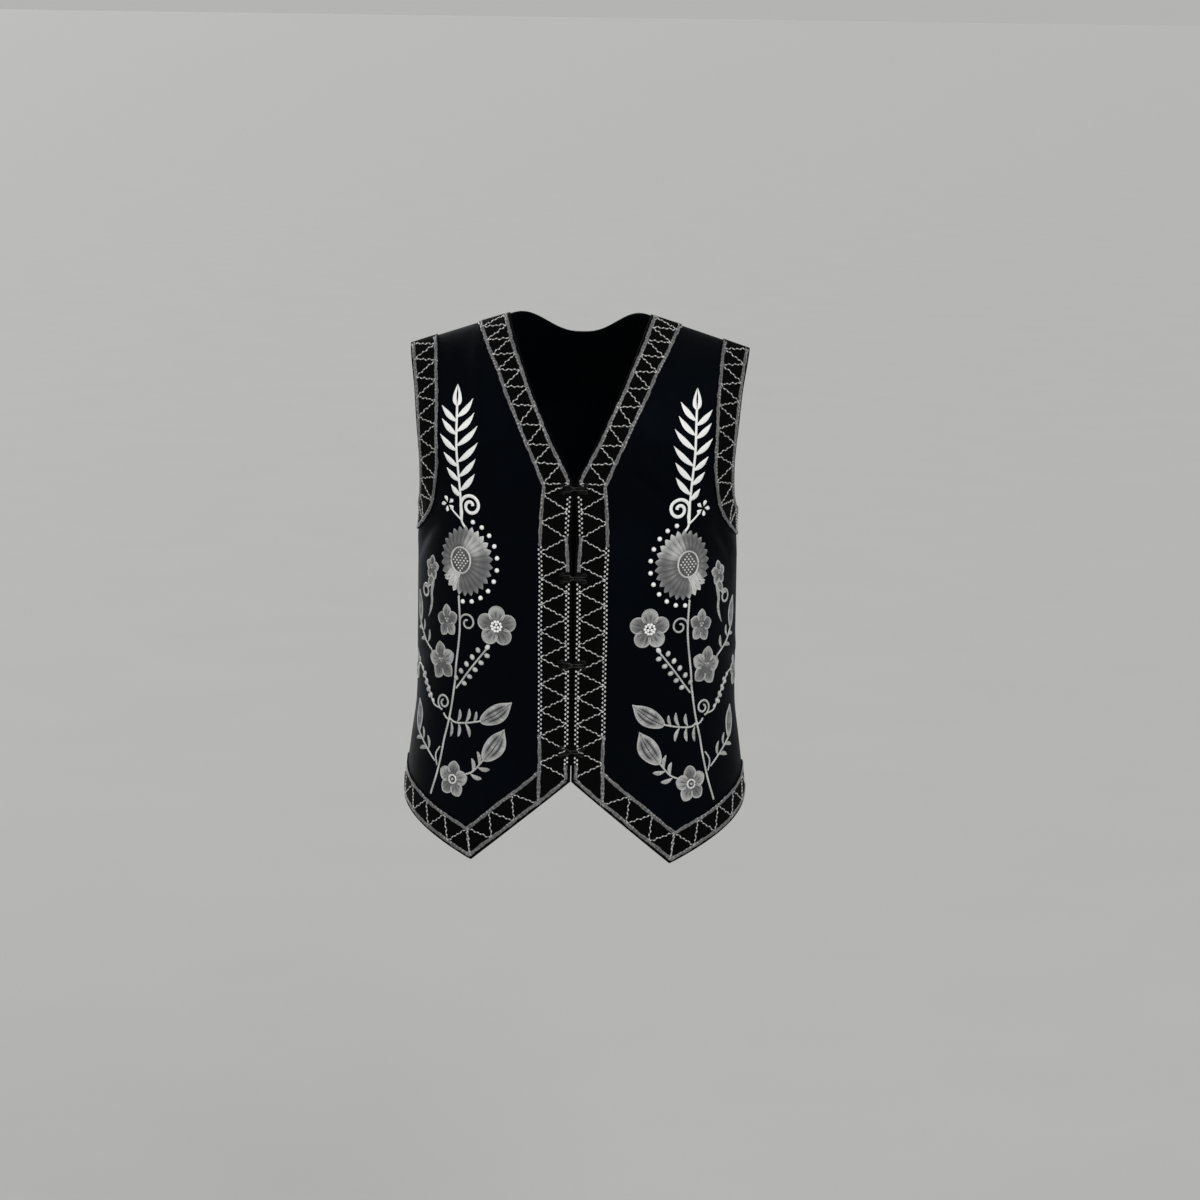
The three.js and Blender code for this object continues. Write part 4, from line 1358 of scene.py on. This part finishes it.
def makeThread(name):
    # lustrous embroidery thread
    nodes, plan = Nodes(name), threads[name]
    place = nodes.object()
    fibre, patch = nodes.noise(place, 900, 3), nodes.noise(place, 55, 2)
    level = nodes.sum("MULTIPLY_ADD", fibre, threads["fibres"], nodes.tone())
    level = nodes.sum("MULTIPLY_ADD", patch, threads["patches"], level)
    level = nodes.sum("SUBTRACT", level, (threads["fibres"] + threads["patches"]) / 2)
    nodes.paint(level, (0.1, plan["dark"]), (0.5, plan["middle"]), (0.95, plan["light"]))
    nodes.bump(fibre, 0.25, 0.0002)
    nodes.set(Roughness=plan["roughness"], Specular_IOR_Level=0.5, Sheen_Weight=0.05)
    return nodes.material


blackThread = {"dark": (0.0014, 0.0014, 0.0014), "light": (0.012, 0.012, 0.0125), "roughness": 0.6}


def makeBlackThread():
    nodes = Nodes("black_thread")
    fibre = nodes.noise(nodes.object(), 800, 3)
    level = nodes.sum("MULTIPLY_ADD", fibre, 0.2, nodes.tone())
    nodes.paint(level, (0.3, blackThread["dark"]), (0.8, blackThread["light"]))
    nodes.bump(fibre, 0.3, 0.0002)
    nodes.set(Roughness=blackThread["roughness"], Specular_IOR_Level=0.1)
    return nodes.material


blackWire = {"dark": (0.006, 0.006, 0.006), "worn": (0.05, 0.045, 0.04), "roughness": (0.22, 0.5)}


def makeBlackWire():
    # enamelled wire, a little worn
    nodes = Nodes("black_wire")
    wear = nodes.noise(nodes.object(), 420, 4)
    nodes.paint(wear, (0.45, blackWire["dark"]), (0.82, blackWire["worn"]))
    nodes.roughen(wear, *blackWire["roughness"])
    nodes.bump(wear, 0.15, 0.0001)
    nodes.set(Metallic=0.4)
    return nodes.material


finishes = {
    "velveteen": makeVelveteen(),
    "band_cloth": makeBandCloth(),
    "cloth_wrong_side": makeWrongSide(),
    "grey_thread": makeThread("grey_thread"),
    "white_thread": makeThread("white_thread"),
    "black_thread": makeBlackThread(),
    "black_wire": makeBlackWire(),
}


def dress(piece, finish):
    piece.data.materials.clear()
    piece.data.materials.append(finishes[finish])


for node, piece in shells.items():
    dress(piece, "band_cloth" if "band" in node else "velveteen")
    piece.data.materials.append(finishes["cloth_wrong_side"])
for name, pieces in embroidery.items():
    for piece in pieces.values():
        threadOf = {"white_embroidery": "white_thread", "hook_stitches": "black_thread"}
        dress(piece, threadOf.get(name, "grey_thread"))
dress(backStitches, "black_thread")
for name, node in frame["nodes"].items():
    if name.startswith(("hook", "eye")):
        for slot in node.material_slots:
            slot.material = finishes["black_wire"]
print("materials:", ", ".join(finishes))

# Stage: a pale floor, a soft even room, and three soft lights
stage = {
    "floorHeight": -1.35, "floorSize": 4000, "floorColour": (0.53, 0.53, 0.523),
    "room": (0.455, 0.455, 0.447),
    "lights": [
        # where each comes from, how soft in degrees, and its strength
        {"name": "key_light", "from": (0.5, -1.15, 0.8), "soft": 30, "strength": 1.3},
        {"name": "side_light", "from": (-1.0, -0.7, 0.45), "soft": 50, "strength": 0.4},
        {"name": "back_light", "from": (-0.8, 1.2, 0.38), "soft": 30, "strength": 1.6},
    ],
}


def aimAt(thing, place, target, roll=0.0):
    way = Vector(target) - Vector(place)
    turn = way.to_track_quat("-Z", "Y").to_matrix().to_4x4()
    thing.matrix_world = Matrix.Translation(place) @ turn @ Matrix.Rotation(math.radians(roll), 4, "Z")


def makeStage():
    half = stage["floorSize"] / 2
    mesh = bpy.data.meshes.new("floor")
    corners = [(-half, -half), (half, -half), (half, half), (-half, half)]
    mesh.from_pydata([(x, y, stage["floorHeight"]) for x, y in corners], [], [(0, 1, 2, 3)])
    floor = bpy.data.objects.new("floor", mesh)
    bpy.context.scene.collection.objects.link(floor)
    nodes = Nodes("floor")
    pale = stage["floorColour"]
    nodes.paint(nodes.noise(nodes.object(), 3, 3), (0.3, tuple(0.98 * c for c in pale)), (0.7, pale))
    nodes.set(Roughness=0.9, Specular_IOR_Level=0.2)
    mesh.materials.append(nodes.material)
    for plan in stage["lights"]:
        light = bpy.data.lights.new(plan["name"], "SUN")
        light.angle, light.energy = math.radians(plan["soft"]), plan["strength"]
        lamp = bpy.data.objects.new(plan["name"], light)
        bpy.context.scene.collection.objects.link(lamp)
        aimAt(lamp, Vector(plan["from"]) * 3, (0, 0, 0))
    world = bpy.context.scene.world or bpy.data.worlds.new("room")
    bpy.context.scene.world = world
    world.use_nodes = True
    background = world.node_tree.nodes.get("Background")
    background.inputs["Color"].default_value = (*stage["room"], 1)
    background.inputs["Strength"].default_value = 1.0
    bpy.context.scene.view_settings.view_transform = "Standard"


view = {"turn": 2.0, "rise": 9.5, "distance": 3.4, "from": (0, 0, -0.262), "aim": (0.0235, 0, -0.2895),
        "lens": 100, "roll": 0.8}


def makeCamera():
    turn, rise = math.radians(view["turn"]), math.radians(view["rise"])
    way = Vector((math.sin(turn) * math.cos(rise), -math.cos(turn) * math.cos(rise), math.sin(rise)))
    lens = bpy.data.cameras.new("camera")
    lens.lens, lens.sensor_width, lens.clip_end = view["lens"], 36, 5000
    camera = bpy.data.objects.new("camera", lens)
    bpy.context.scene.collection.objects.link(camera)
    aimAt(camera, Vector(view["from"]) + way * view["distance"], view["aim"], view["roll"])
    bpy.context.scene.camera = camera


for leftover in [o for o in bpy.data.objects if o.name in ("Cube", "Light", "Camera")]:
    bpy.data.objects.remove(leftover)
makeStage()
makeCamera()
